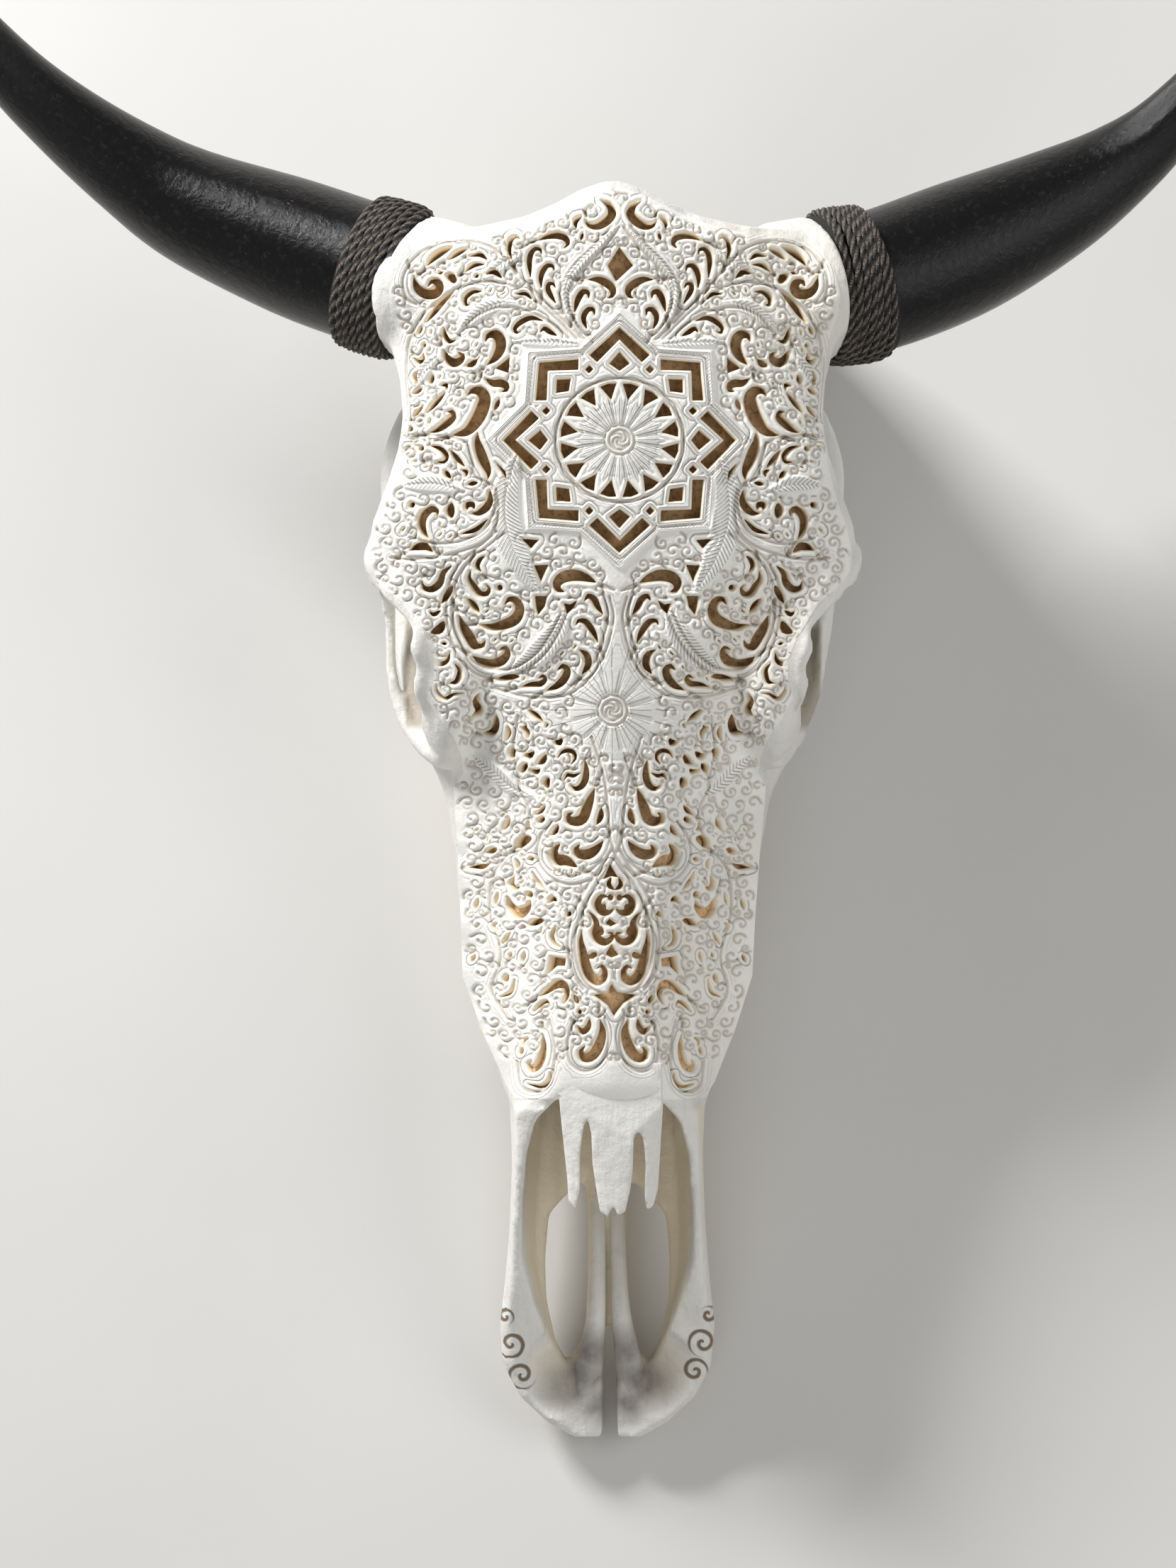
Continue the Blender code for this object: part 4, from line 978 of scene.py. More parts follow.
# %% Openings
# Each opening of the right half: greatest width, then points from the hooked end to the tip
HOOKS = (
    # above and beside the arch
    (13, (905, 281), (894, 288), (890, 299), (897, 310), (910, 318), (921, 317), (926, 311)),
    (7, (932, 304), (940, 311), (939, 320)),
    (5, (930, 328), (932, 338)),
    (10, (955, 349), (950, 343), (954, 335), (966, 331), (979, 333), (990, 338)),
    (8, (986, 358), (987, 352), (994, 350), (1000, 357), (1002, 368), (1001, 380), (1000, 390)),
    (8, (968, 381), (970, 375), (977, 374), (983, 381), (986, 392), (985, 405)),
    (7, (966, 405), (969, 400), (975, 400), (976, 407), (972, 416), (965, 427)),
    (7, (1016, 335), (1021, 332), (1028, 338), (1030, 350), (1028, 358), (1026, 365)),
    (11, (894, 420), (888, 417), (887, 408), (895, 400), (908, 394), (921, 394)),
    (9, (920, 420), (921, 413), (928, 411), (934, 420), (937, 430), (939, 439)),
    (8, (912, 444), (913, 437), (920, 436), (926, 444), (926, 453), (922, 463)),
    # the volute in the corner by the horn
    (14, (1136, 402), (1132, 395), (1125, 396), (1122, 404), (1127, 412), (1139, 413), (1149, 405),
     (1154, 389)),
    (11, (1101, 397), (1106, 390), (1112, 386)),
    (10, (1106, 346), (1120, 353), (1131, 362), (1138, 372)),
    (7, (1086, 349), (1098, 355), (1110, 364)),
    (6, (1059, 365), (1069, 358), (1082, 360)),
    (6, (1063, 372), (1076, 373), (1088, 382)),
    (7, (1039, 391), (1049, 383), (1060, 385)),
    (5, (1117, 382), (1124, 384)), (5, (1070, 387), (1075, 390)),
    # the fan under it
    (5, (998, 421), (1006, 414), (1019, 414)),
    (6, (1034, 411), (1038, 415)), (6, (1052, 407), (1054, 411)),
    (7, (1066, 410), (1078, 411), (1087, 419), (1086, 429), (1081, 428)),
    (9, (1104, 411), (1118, 425), (1129, 440), (1138, 453)),
    (5, (1143, 459), (1147, 470)),
    (8, (982, 452), (998, 448), (1012, 454), (1020, 463), (1017, 469), (1012, 467)),
    (7, (963, 473), (972, 468), (980, 463), (985, 468)),
    (15, (1059, 481), (1056, 473), (1047, 471), (1040, 478), (1039, 490), (1045, 503), (1056, 514)),
    (7, (1115, 461), (1113, 472), (1107, 481), (1099, 479)),
    (12, (1095, 496), (1090, 501), (1092, 507), (1101, 511), (1109, 505), (1114, 494)),
    (5, (1130, 465), (1131, 470)), (6, (1131, 490), (1133, 494)), (5, (1139, 483), (1140, 489)),
    (6, (1141, 497), (1141, 506), (1146, 510), (1152, 504)),
    (5, (1069, 484), (1071, 488)), (6, (1066, 502), (1069, 507)), (9, (1070, 507), (1077, 513), (1084, 515)),
    # between the fan and the star
    (11, (1036, 552), (1030, 549), (1031, 543), (1039, 540), (1048, 540), (1058, 534)),
    (7, (1039, 563), (1042, 571), (1045, 578)),
    (19, (1082, 558), (1077, 551), (1066, 551), (1059, 561), (1062, 577), (1070, 594), (1082, 608),
     (1100, 613)),
    (11, (1108, 580), (1102, 580), (1100, 588), (1109, 597), (1120, 605), (1130, 609)),
    (7, (1129, 591), (1131, 596)), (5, (1101, 563), (1103, 566)), (6, (1090, 538), (1092, 542)),
    (5, (1117, 529), (1119, 533)), (5, (1117, 543), (1110, 542), (1109, 549)),
    (7, (1111, 553), (1121, 565), (1134, 581)), (6, (1139, 571), (1152, 586)),
    (6, (1141, 547), (1152, 554)), (7, (1154, 601), (1157, 606)),
    (7, (1128, 528), (1130, 540)), (6, (1146, 522), (1150, 530), (1147, 540)),
    (14, (1067, 611), (1067, 624), (1060, 645), (1052, 664), (1052, 676)),
    # right edge under the horn
    (7, (1128, 628), (1115, 633), (1107, 643), (1110, 651), (1119, 651)),
    (7, (1138, 634), (1142, 629)), (6, (1154, 628), (1158, 629)), (7, (1145, 649), (1148, 650)),
    (5, (1130, 657), (1134, 659)), (7, (1102, 635), (1092, 648), (1083, 658)),
    (7, (1109, 664), (1101, 674)), (5, (1081, 672), (1080, 666), (1086, 663)),
    (6, (1065, 681), (1078, 683)),
    (11, (1049, 692), (1048, 706), (1054, 717), (1064, 724), (1072, 724)),
    (8, (1078, 719), (1078, 712), (1071, 712), (1069, 718)),
    (6, (1051, 733), (1066, 747), (1084, 753)),
    (12, (1099, 710), (1100, 720), (1098, 730)),
    (12, (1117, 728), (1117, 721), (1125, 718), (1134, 727), (1136, 738), (1133, 750), (1127, 760)),
    (8, (1147, 709), (1152, 714)), (5, (1097, 755), (1100, 758)), (7, (1157, 744), (1160, 748)),
    (5, (1110, 752), (1113, 756)),
    (11, (1121, 779), (1131, 771), (1143, 772), (1150, 776)),
    # the great volutes under the star
    (16, (946, 835), (954, 832), (956, 823), (948, 815), (934, 812), (918, 815), (903, 822)),
    (9, (918, 847), (913, 841), (905, 846), (900, 856), (893, 867)),
    (9, (929, 881), (926, 876), (917, 877), (910, 885), (904, 895), (899, 907)),
    (8, (929, 911), (932, 915)), (5, (946, 920), (950, 924)),
    (10, (924, 917), (914, 925), (912, 938), (920, 951)),
    (11, (953, 945), (946, 940), (940, 946), (944, 958), (954, 968), (967, 974)),
    (5, (963, 940), (965, 943)),
    (8, (979, 957), (973, 954), (970, 959), (976, 965), (988, 966), (1001, 969)),
    (5, (997, 956), (999, 959)), (8, (1005, 955), (1018, 956), (1034, 959)),
    (7, (1054, 785), (1060, 790), (1063, 799), (1058, 807)),
    (9, (1051, 825), (1047, 831), (1050, 838), (1059, 838), (1067, 827), (1073, 817), (1072, 806)),
    (8, (1030, 831), (1036, 828)),
    (15, (1026, 853), (1021, 846), (1011, 848), (1006, 860), (1012, 874), (1027, 882), (1042, 885),
     (1058, 882)),
    (9, (1075, 845), (1067, 854), (1059, 865)), (5, (1047, 861), (1051, 864)),
    (12, (1051, 904), (1054, 911), (1062, 912), (1070, 899), (1079, 884), (1085, 869)),
    (13, (1032, 917), (1024, 915), (1022, 924), (1029, 933), (1042, 937), (1054, 933), (1064, 926)),
    (5, (1014, 903), (1017, 906)), (5, (1036, 901), (1039, 904)),
    # the outer edge down to the eye socket
    (10, (1097, 799), (1107, 809), (1111, 823), (1120, 831), (1130, 829), (1133, 821)),
    (9, (1095, 827), (1101, 839), (1107, 850)), (6, (1108, 861), (1116, 866), (1121, 862)),
    (12, (1103, 876), (1108, 887), (1118, 892)),
    (7, (1095, 920), (1098, 931), (1106, 936), (1114, 930)), (4, (1099, 908), (1105, 907)),
    (8, (1087, 936), (1080, 946), (1084, 961), (1094, 964)),
    (5, (1075, 978), (1087, 980), (1099, 986), (1108, 976), (1109, 966)),
    (9, (1055, 979), (1058, 990), (1054, 1003), (1062, 1012)),
    (10, (1034, 1009), (1034, 1022), (1038, 1033), (1048, 1035)),
    (7, (992, 1002), (982, 1009), (972, 1018)), (5, (964, 1022), (966, 1025)), (6, (994, 1024), (997, 1030)),
    # beside the plain stem
    (6, (950, 1069), (946, 1062), (937, 1059), (929, 1062), (927, 1070), (932, 1078)),
    (10, (914, 1073), (912, 1086), (913, 1099), (918, 1109), (926, 1113), (932, 1108)),
    (5, (920, 1091), (930, 1095), (937, 1093), (941, 1100)),
    (15, (929, 1147), (935, 1150), (934, 1157), (926, 1159), (916, 1155), (910, 1140), (905, 1126),
     (900, 1113)),
    (9, (890, 1140), (891, 1152), (896, 1163)),
    (14, (919, 1192), (924, 1199), (919, 1205), (907, 1205), (896, 1198), (887, 1187)),
    (15, (946, 1191), (954, 1201), (951, 1213), (938, 1214), (922, 1223)),
    (5, (928, 1227), (929, 1232)), (5, (944, 1226), (946, 1230)),
    (8, (949, 1164), (952, 1172), (958, 1178)),
    (9, (967, 1065), (971, 1073), (978, 1078)), (7, (975, 1086), (980, 1090), (987, 1087)),
    (9, (992, 1078), (997, 1085), (999, 1091)), (10, (963, 1098), (966, 1105), (964, 1112)),
    (8, (983, 1061), (990, 1067), (996, 1064)), (7, (1013, 1056), (1012, 1070)),
    (6, (1018, 1024), (1016, 1034), (1019, 1044)), (6, (1000, 1026), (992, 1032), (991, 1041)),
    (8, (946, 1042), (949, 1048), (956, 1046)), (5, (966, 1021), (967, 1026)),
    (6, (967, 1126), (970, 1131)), (7, (967, 1137), (972, 1143), (979, 1149)),
    (8, (968, 1154), (976, 1160)), (5, (988, 1161), (989, 1168), (984, 1171)),
    (7, (1014, 1154), (1017, 1164), (1021, 1171)),
    (13, (985, 1183), (995, 1187), (1003, 1197)), (6, (980, 1212), (987, 1213)),
    (5, (1003, 1213), (1000, 1219), (1001, 1226)), (8, (1029, 1199), (1036, 1202), (1042, 1204)),
    (7, (1038, 1220), (1046, 1224), (1062, 1225)), (5, (1040, 1182), (1041, 1187)),
    (5, (1052, 1170), (1055, 1173)),
    (5, (981, 1231), (976, 1242), (965, 1256)), (7, (1006, 1236), (1009, 1248), (1004, 1255), (999, 1252)),
    (5, (993, 1243), (996, 1247)), (9, (983, 1260), (988, 1266)),
    (14, (984, 1272), (989, 1283), (999, 1290), (1009, 1281), (1013, 1267)),
    (4, (1025, 1261), (1028, 1277)), (5, (1049, 1270), (1053, 1284)),
    (7, (949, 1272), (955, 1268), (960, 1274)),
    # inside and beside the teardrop
    (7, (874, 1238), (877, 1248), (869, 1255)), (8, (860, 1262), (863, 1270)),
    (11, (879, 1265), (888, 1265), (893, 1275), (887, 1286), (876, 1287), (870, 1282)),
    (9, (852, 1276), (849, 1284)), (10, (845, 1309), (848, 1318)),
    (11, (877, 1316), (871, 1317), (872, 1324), (881, 1329), (891, 1325), (896, 1315), (894, 1304),
     (897, 1296), (904, 1287)),
    (14, (892, 1366), (886, 1363), (881, 1370), (883, 1380), (892, 1384), (902, 1376), (908, 1361),
     (912, 1343), (915, 1328), (914, 1314)),
    (9, (893, 1346), (904, 1350)),
    (7, (930, 1286), (934, 1293)), (6, (949, 1307), (954, 1319), (951, 1331), (943, 1336)),
    (9, (966, 1299), (975, 1301), (985, 1306)), (5, (967, 1309), (969, 1314)),
    (11, (937, 1416), (933, 1406), (934, 1396), (940, 1389), (950, 1391), (960, 1399), (969, 1406)),
    (5, (955, 1420), (959, 1414), (967, 1418), (976, 1428)),
    (7, (923, 1404), (917, 1416)), (6, (906, 1424), (909, 1428)), (6, (915, 1425), (914, 1431)),
    (9, (901, 1438), (903, 1449), (910, 1456), (917, 1449)),
    (15, (907, 1477), (912, 1484), (907, 1493), (896, 1489), (887, 1474), (883, 1456), (886, 1440)),
    (10, (978, 1498), (982, 1503), (978, 1510), (970, 1505), (965, 1493), (963, 1477), (964, 1461)),
    (4, (953, 1515), (955, 1526), (965, 1534), (981, 1531)), (5, (989, 1480), (992, 1490)),
    (4, (982, 1466), (988, 1470), (988, 1478)),
    (4, (1025, 1304), (1030, 1309), (1023, 1317)), (4, (1008, 1317), (1018, 1333)),
    (5, (989, 1345), (992, 1358)), (4, (1006, 1346), (1009, 1352)), (7, (1011, 1377), (1015, 1388)),
    (5, (1051, 1350), (1055, 1359)), (4, (1001, 1384), (1006, 1402), (1019, 1409)),
)

# Straight-edged openings of the right half, and those on the middle line
CUTS = (
    ((1026, 503), (1046, 519), (1027, 526)),
    ((982, 762), (1005, 760), (992, 774)),
    ((968, 797), (988, 798), (978, 821)),
    ((969, 841), (986, 841), (984, 858), (981, 868), (972, 856)),
    ((928, 847), (938, 853), (947, 851), (942, 867), (933, 858)),
    ((1042, 652), (1028, 665), (1026, 678)),
    ((935, 1353), (956, 1350), (960, 1376), (947, 1363), (936, 1363)),
)
MIDDLE_CUTS = (
    ((874, 348), (894, 374), (869, 397), (857, 374)),
    ((861, 1219), (874, 1238), (862, 1236), (850, 1241)),
    ((863, 1388), (872, 1400), (898, 1404), (881, 1416), (867, 1434), (858, 1419), (836, 1404), (856, 1401)),
    ((863, 1332), (874, 1347), (863, 1351), (854, 1346)),
    ((860, 1296), (871, 1303), (862, 1307), (854, 1302)),
)
SMALL_WIDTH = 7
STAR_SQUASH = 0.965
DIAGONAL = 0.975
ROSETTE = (864.0, 1002.0)


def polar(radius, degrees, centre=STAR, squash=STAR_SQUASH):
    a = math.radians(degrees)
    return centre[0] + radius * math.cos(a), centre[1] - radius * squash * math.sin(a)


def star_cuts():
    """Openings of the star: eight slots, diamonds and small diamonds, and sixteen between petals."""
    cuts = []
    for i in range(8):
        turn = 45.0 * i
        k = 1.0 if i % 2 == 0 else DIAGONAL
        (left, left_in), (right, right_in) = [
            (polar(132.0, turn + sign * 19.0), polar(118.0, turn + sign * 15.5)) for sign in (1, -1)
        ]
        cuts.append([polar(165.0 * k, turn), left, left_in, polar(147.0 * k, turn), right_in, right])
        cuts.append([polar(129.0 * k, turn), polar(113.0, turn + 7.5), polar(101.0, turn),
                     polar(113.0, turn - 7.5)])
        x, y = polar(112.0, turn + 22.5)
        cuts.append([(x, y - 6), (x + 6, y), (x, y + 6), (x - 6, y)])
    for i in range(16):
        turn = 22.5 * (i + 0.5)
        cuts.append([polar(60.0, turn), polar(83.0, turn + 8.2), polar(84.5, turn), polar(83.0, turn - 8.2)])
    return cuts


def openings(narrow):
    """The hooks of one kind, narrow or wide, sawn a little wider than they are drawn."""
    field = blank()
    for width, *points in HOOKS:
        if (width < SMALL_WIDTH) == narrow:
            for path in both_sides(points):
                stroke(field, path, width + 0.6 if narrow else width * 1.06)
    return field


SMALL = openings(True)
WIDER = openings(False)
for cut in CUTS:
    for outline in both_sides(cut):
        polygon(WIDER, outline)
for cut in star_cuts() + list(MIDDLE_CUTS):
    polygon(WIDER, cut)
OPEN = np.minimum(SMALL, WIDER)
OPEN_Y, OPEN_X = np.gradient(OPEN)
print("open share of the sheet:", round(float((OPEN < 0).mean()), 3))

# %% [markdown]
# ### Lines, leaves and scrolls
# Between the openings run long engraved lines and hatched leaves. What is still plain is filled with
# small scrolls, the largest first, each springing from the nearest line.

# %% Lines, leaves and scrolls
# Engraved lines of the right half
LINES = (
    ((880, 320), (903, 350), (925, 374), (941, 396), (948, 420), (938, 452), (921, 474)),
    ((890, 318), (914, 346), (936, 368), (952, 390), (959, 415), (951, 445), (930, 476)),
    ((925, 478), (950, 455), (975, 430), (1000, 405), (1022, 378), (1045, 354), (1070, 341), (1100, 336),
     (1130, 343), (1155, 362), (1168, 392), (1163, 420), (1150, 428)),
    ((935, 478), (965, 448), (995, 422), (1030, 401), (1062, 397), (1094, 404), (1124, 424), (1148, 452),
     (1160, 486), (1162, 520), (1159, 552), (1156, 590)),
    ((945, 478), (975, 452), (1010, 436), (1040, 433), (1070, 445), (1090, 466)),
    ((1160, 612), (1120, 614), (1085, 622), (1074, 645), (1068, 672), (1050, 682), (1040, 700),
     (1044, 728), (1060, 750), (1088, 764), (1120, 766), (1150, 758)),
    ((1040, 690), (1036, 720), (1042, 748), (1062, 768), (1100, 782), (1145, 789), (1172, 786)),
    ((1028, 752), (1052, 772), (1078, 796), (1092, 828), (1093, 868), (1084, 900), (1068, 928),
     (1040, 944), (1012, 942), (984, 922), (964, 894), (948, 862)),
    ((1038, 750), (1062, 772), (1088, 798), (1100, 830), (1100, 870), (1092, 905), (1074, 938),
     (1044, 956), (1010, 952), (978, 930), (956, 900), (942, 868)),
    ((884, 842), (878, 870), (884, 905), (898, 940), (925, 972), (958, 984), (1000, 982), (1040, 970)),
    ((892, 836), (886, 868), (893, 905), (908, 944), (934, 966)),
    ((905, 1040), (893, 1075), (884, 1112), (880, 1150), (876, 1185), (868, 1208)),
    ((868, 1206), (884, 1232), (903, 1262), (918, 1298), (923, 1332), (917, 1366), (902, 1392), (880, 1404)),
    ((874, 1198), (892, 1228), (912, 1258), (928, 1296), (932, 1332), (926, 1368), (910, 1396)),
    ((882, 1222), (902, 1240), (932, 1248), (960, 1236), (976, 1210), (972, 1180), (958, 1160)),
    ((886, 1214), (908, 1230), (934, 1236), (954, 1224), (964, 1204)),
    ((1005, 1010), (1010, 1060), (1000, 1110), (988, 1150), (1000, 1190), (1030, 1230), (1035, 1290),
     (1020, 1350), (1030, 1400), (1010, 1440)),
    ((880, 1436), (874, 1470), (884, 1500), (905, 1512), (925, 1500), (930, 1470), (922, 1440)),
    ((955, 1440), (948, 1480), (950, 1515), (966, 1540), (990, 1535), (996, 1500)),
)

# Hatched leaves of the right half: width of the blade, then its midrib from stalk to tip
LEAVES = (
    (44, (1012, 640), (1026, 690), (1026, 735), (1011, 782), (982, 834)),
    (34, (942, 858), (958, 895), (984, 925), (1014, 944)),
    (15, (925, 486), (970, 483), (1022, 482)),
    (17, (880, 316), (908, 346), (936, 376), (951, 405), (945, 440), (924, 474)),
    (24, (1085, 692), (1120, 682), (1160, 684)),
    (22, (985, 1122), (1010, 1110), (1035, 1085), (1062, 1062)),
    (20, (1010, 352), (1040, 372), (1062, 392)),
    (22, (1030, 425), (1062, 436), (1092, 462)),
    (18, (1120, 500), (1138, 520), (1150, 548)),
)
OUTLINE_OF_STAR = [
    polar(r * k, turn) for i in range(8)
    for r, k, turn in ((190.0, 1.0 if i % 2 == 0 else DIAGONAL, 45.0 * i), (147.0, 1.0, 45.0 * i + 22.5))
]
WIDE_RIBBON = 8.5
SMALL_RIBBON = 5.5
RIBBON = np.where(SMALL < WIDER, SMALL_RIBBON, WIDE_RIBBON)
RIBBON_DEPTH = 1.25
SECOND_RIBBON = 0.45
BARB_PITCH = 6.4
BARB_SLANT = 0.9
MOST_SCROLLS = 320
LARGEST_SCROLL = 9.5
SMALLEST_SCROLL = 4.4
LEAST_TURNS = 0.75
LOWEST_SCROLL = 1500.0
GOLDEN_ANGLE = 2.4
PLAIN_STEM = ((846, 800), (892, 800), (884, 850), (886, 930), (846, 930), (852, 850))


def turned_on(points, share=0.55, longest=30.0):
    """Where a hook's curve would go on past its tip, bending as before."""
    path = smooth(points)
    ahead = path[-1] - path[-2]
    before = path[-2] - path[-3] if len(path) > 2 else ahead
    bend = math.atan2(before[0] * ahead[1] - before[1] * ahead[0], float(before @ ahead)) * 0.7
    length = min(longest, share * float(np.hypot(*np.diff(path, axis=0).T).sum()))
    step = 3.0 * ahead / max(1e-6, float(np.hypot(*ahead)))
    out = [path[-1] - step * 0.5]
    for _ in range(max(2, int(length / 3.0))):
        step = np.array((
            step[0] * math.cos(bend) - step[1] * math.sin(bend),
            step[0] * math.sin(bend) + step[1] * math.cos(bend),
        ))
        out.append(out[-1] + step)
    return [tuple(p) for p in out]


def eye_of(points):
    """The middle of the circle through a hook's first points: the eye of its curl."""
    (ax, ay), (bx, by), (cx, cy) = points[:3]
    d = 2.0 * (ax * (by - cy) + bx * (cy - ay) + cx * (ay - by))
    if abs(d) < 1.0:
        return None
    a2, b2, c2 = ax * ax + ay * ay, bx * bx + by * by, cx * cx + cy * cy
    ux = (a2 * (by - cy) + b2 * (cy - ay) + c2 * (ay - by)) / d
    uy = (a2 * (cx - bx) + b2 * (ax - cx) + c2 * (bx - ax)) / d
    radius = math.hypot(ux - ax, uy - ay)
    return (ux, uy) if 3.5 < radius < 12.0 else None


def furrows():
    """Narrow V grooves that run on from the tip of every hook, between the fingers of a leaf."""
    field = blank()
    for width, *points in HOOKS:
        if width < 6:
            continue
        for path in both_sides(points):
            stroke(field, turned_on(path), 3.6, taper=0.3, low=1.2, reach=10)
            if len(path) > 3 and width > 8:
                eye = eye_of(path)
                if eye is not None:
                    stroke(field, (eye, (eye[0] + 0.6, eye[1])), 3.2, even=True, reach=10)
    return field


def main_lines():
    """The long lines, the ring round the petals and the whorls in the middle of both flowers."""
    field = blank()
    for points in LINES:
        for path in both_sides(points):
            stroke(field, path, 2.0, even=True, reach=28)
    stroke(field, [polar(90.0, a) for a in range(0, 361, 12)], 1.6, even=True, reach=8)
    for centre, squash in ((STAR, STAR_SQUASH), (ROSETTE, 1.0)):
        for radius in (21.0, 14.5):
            ring = [polar(radius, a, centre, squash) for a in range(0, 361, 15)]
            stroke(field, ring, 1.8, even=True, reach=8)
        for i in range(4):
            whorl = [polar(2.0 + 2.75 * t, 90 * i + 37.5 * t, centre, squash) for t in range(5)]
            stroke(field, whorl, 1.6, even=True, reach=8)
    return field


def leaf_fields():
    """For each place on a hatched leaf: distance from its edge, from its midrib and along it."""
    edge = blank()
    side = blank()
    along = blank(0.0)
    for width, *points in LEAVES:
        for path in both_sides(points):
            pts = smooth(path, 2.0)
            steps = np.hypot(*np.diff(pts, axis=0).T)
            reach = np.concatenate([[0.0], np.cumsum(steps)])
            part, gx, gy = window(pts, width, past=0)
            best = np.full(gx.shape, BEYOND, dtype=np.float32)
            far = np.zeros_like(best)
            for k in range(len(pts) - 1):
                t, away = from_segment(gx, gy, pts[k], pts[k + 1])
                nearer = away < best
                best = np.where(nearer, away, best)
                far = np.where(nearer, reach[k] + t * steps[k], far)
            swell = np.sin(np.pi * np.clip(far / reach[-1], 0.02, 0.98)) ** 0.6
            rim = best - 0.5 * width * swell
            take = rim < edge[part]
            for sheet, values in ((edge, rim), (side, best), (along, far)):
                sheet[part] = np.where(take, values, sheet[part])
    return edge, side, along


def plain_places():
    """How much room each place has for a scroll: far from holes, lines, leaves and plain bone."""
    stem = blank()
    polygon(stem, PLAIN_STEM)
    room = np.minimum(np.minimum(OPEN - 2.5, VEINS - 1.0), np.minimum(LEAF_EDGE, STAR_EDGE - 3.0))
    room = np.minimum(room, np.minimum(stem, np.hypot(GX - ROSETTE[0], GY - ROSETTE[1]) - 66.0))
    room = np.minimum(room, np.minimum(inside_by(GX, GY) - 4.0, LOWEST_SCROLL - GY))
    return np.where(GX > pattern_middle(GY) + 4.0, room, 0.0)


def filler_scrolls():
    """Places and sizes of the small scrolls that fill the gaps of the right half, the largest first."""
    room = plain_places()
    down, across = np.gradient(soften_net(room, 4))
    scrolls = []
    while len(scrolls) < MOST_SCROLLS:
        j, i = np.unravel_index(np.argmax(room), room.shape)
        radius = min(float(room[j, i]), LARGEST_SCROLL)
        if radius < SMALLEST_SCROLL:
            break
        towards = math.atan2(-down[j, i], -across[j, i])
        scrolls.append((SHEET_X0 + int(i), SHEET_Y0 + int(j), radius, towards))
        reach = int(2 * LARGEST_SCROLL + 2)
        near = (slice(max(0, j - reach), j + reach), slice(max(0, i - reach), i + reach))
        away = np.hypot(GX[near] - scrolls[-1][0], GY[near] - scrolls[-1][1]) - radius - 0.6
        room[near] = np.minimum(room[near], away)
    return scrolls


def scroll_fields():
    """For each place: distance from the groove of a small scroll, and from the rim of its disc."""
    groove_gap = blank()
    rim = blank()
    for n, (px, py, radius, towards) in enumerate(filler_scrolls()):
        spin = 1 if math.sin(GOLDEN_ANGLE * n) > 0.0 else -1
        turns = LEAST_TURNS + 0.5 * (0.5 + 0.5 * math.sin(5.1 * n))
        share = np.linspace(0.0, 1.0, 9)
        sizes = radius * (1.25 - 1.05 * share ** 0.8)
        angles = towards + spin * turns * 2.0 * math.pi * share
        path = [(px + r * math.cos(a), py + r * math.sin(a)) for r, a in zip(sizes, angles)]
        for points in both_sides(path):
            stroke(groove_gap, points, 1.4, even=True, reach=8)
            eye = points[-1]
            stroke(groove_gap, (eye, (eye[0] + 0.4, eye[1])), 2.6, even=True, reach=8)
        for (x, y), in both_sides(((px, py),)):
            stroke(rim, ((x, y), (x + 0.3, y)), 2.0 * radius, even=True, reach=6)
    return groove_gap, rim


def groove(field, half_width, deep):
    """A rounded cut, deepest where a distance is nought."""
    return -deep * (1.0 - smoothstep(field, 0.0, half_width))


def petal_relief():
    """Sixteen petals, each a rounded ridge, inside the ring; and the engraved flower below."""
    up = np.zeros((TALL, WIDE), dtype=np.float32)
    for (cx, cy), squash, petals, inner, outer, high in (
        (STAR, STAR_SQUASH, 16, 22.0, 84.0, 0.9), (ROSETTE, 1.0, 12, 22.0, 62.0, 0.8),
    ):
        dx = GX - cx
        dy = (GY - cy) / squash
        r = np.hypot(dx, dy)
        beside = np.abs(np.sin(0.5 * petals * np.arctan2(dy, dx) + 0.5 * math.pi)) * r * 2.0 / petals
        ridge = smoothstep(beside, 0.0, 4.0)
        ring = smoothstep(r, inner - 1.0, inner + 1.0) * (1.0 - smoothstep(r, outer - 8.0, outer))
        up += ring * high * (ridge - 1.0)
    return up


def rounded(phase):
    """One round ribbon: nought along its crown, one in the sharp V at either edge."""
    return 1.0 - np.sqrt(np.clip(np.sin(math.pi * np.clip(phase, 0.0, 1.0)), 0.0, 1.0))


def relief():
    """Height in mm of the carved surface over the plain bone."""
    phase = OPEN / RIBBON
    deep = RIBBON_DEPTH * RIBBON / WIDE_RIBBON
    second = SECOND_RIBBON * rounded(phase - 1.0) * (1.0 - CALM)
    up = -deep * np.where(phase < 1.0, rounded(phase), second) * (phase < 2.0)
    up += groove(FURROWS, 2.4, 1.1) * smoothstep(OPEN, 3.0, 6.0)
    up += groove(VEINS, 2.4, 1.0)
    up += groove(SCROLLS, 2.2, 1.0)
    up += 0.45 * (1.0 - smoothstep(SCROLL_RIM, -6.0, 0.0)) - 0.3 * np.exp(-(SCROLL_RIM / 1.3) ** 2)
    up += 1.0 * (1.0 - smoothstep(LEAF_EDGE, -2.0, 1.0))
    up += groove(LEAF_SIDE, 2.2, 0.7)
    slant = (LEAF_ALONG - BARB_SLANT * LEAF_SIDE) / BARB_PITCH
    up -= 0.5 * np.abs(np.cos(math.pi * slant)) ** 6 * (1.0 - smoothstep(LEAF_EDGE, -3.0, -1.0))
    up += 1.1 * (1.0 - smoothstep(STAR_EDGE, -2.0, 1.5))
    for at in (-7.0, -13.5):
        up -= 0.55 * np.exp(-((STAR_EDGE - at) / 1.2) ** 2)
    up += petal_relief()
    return up


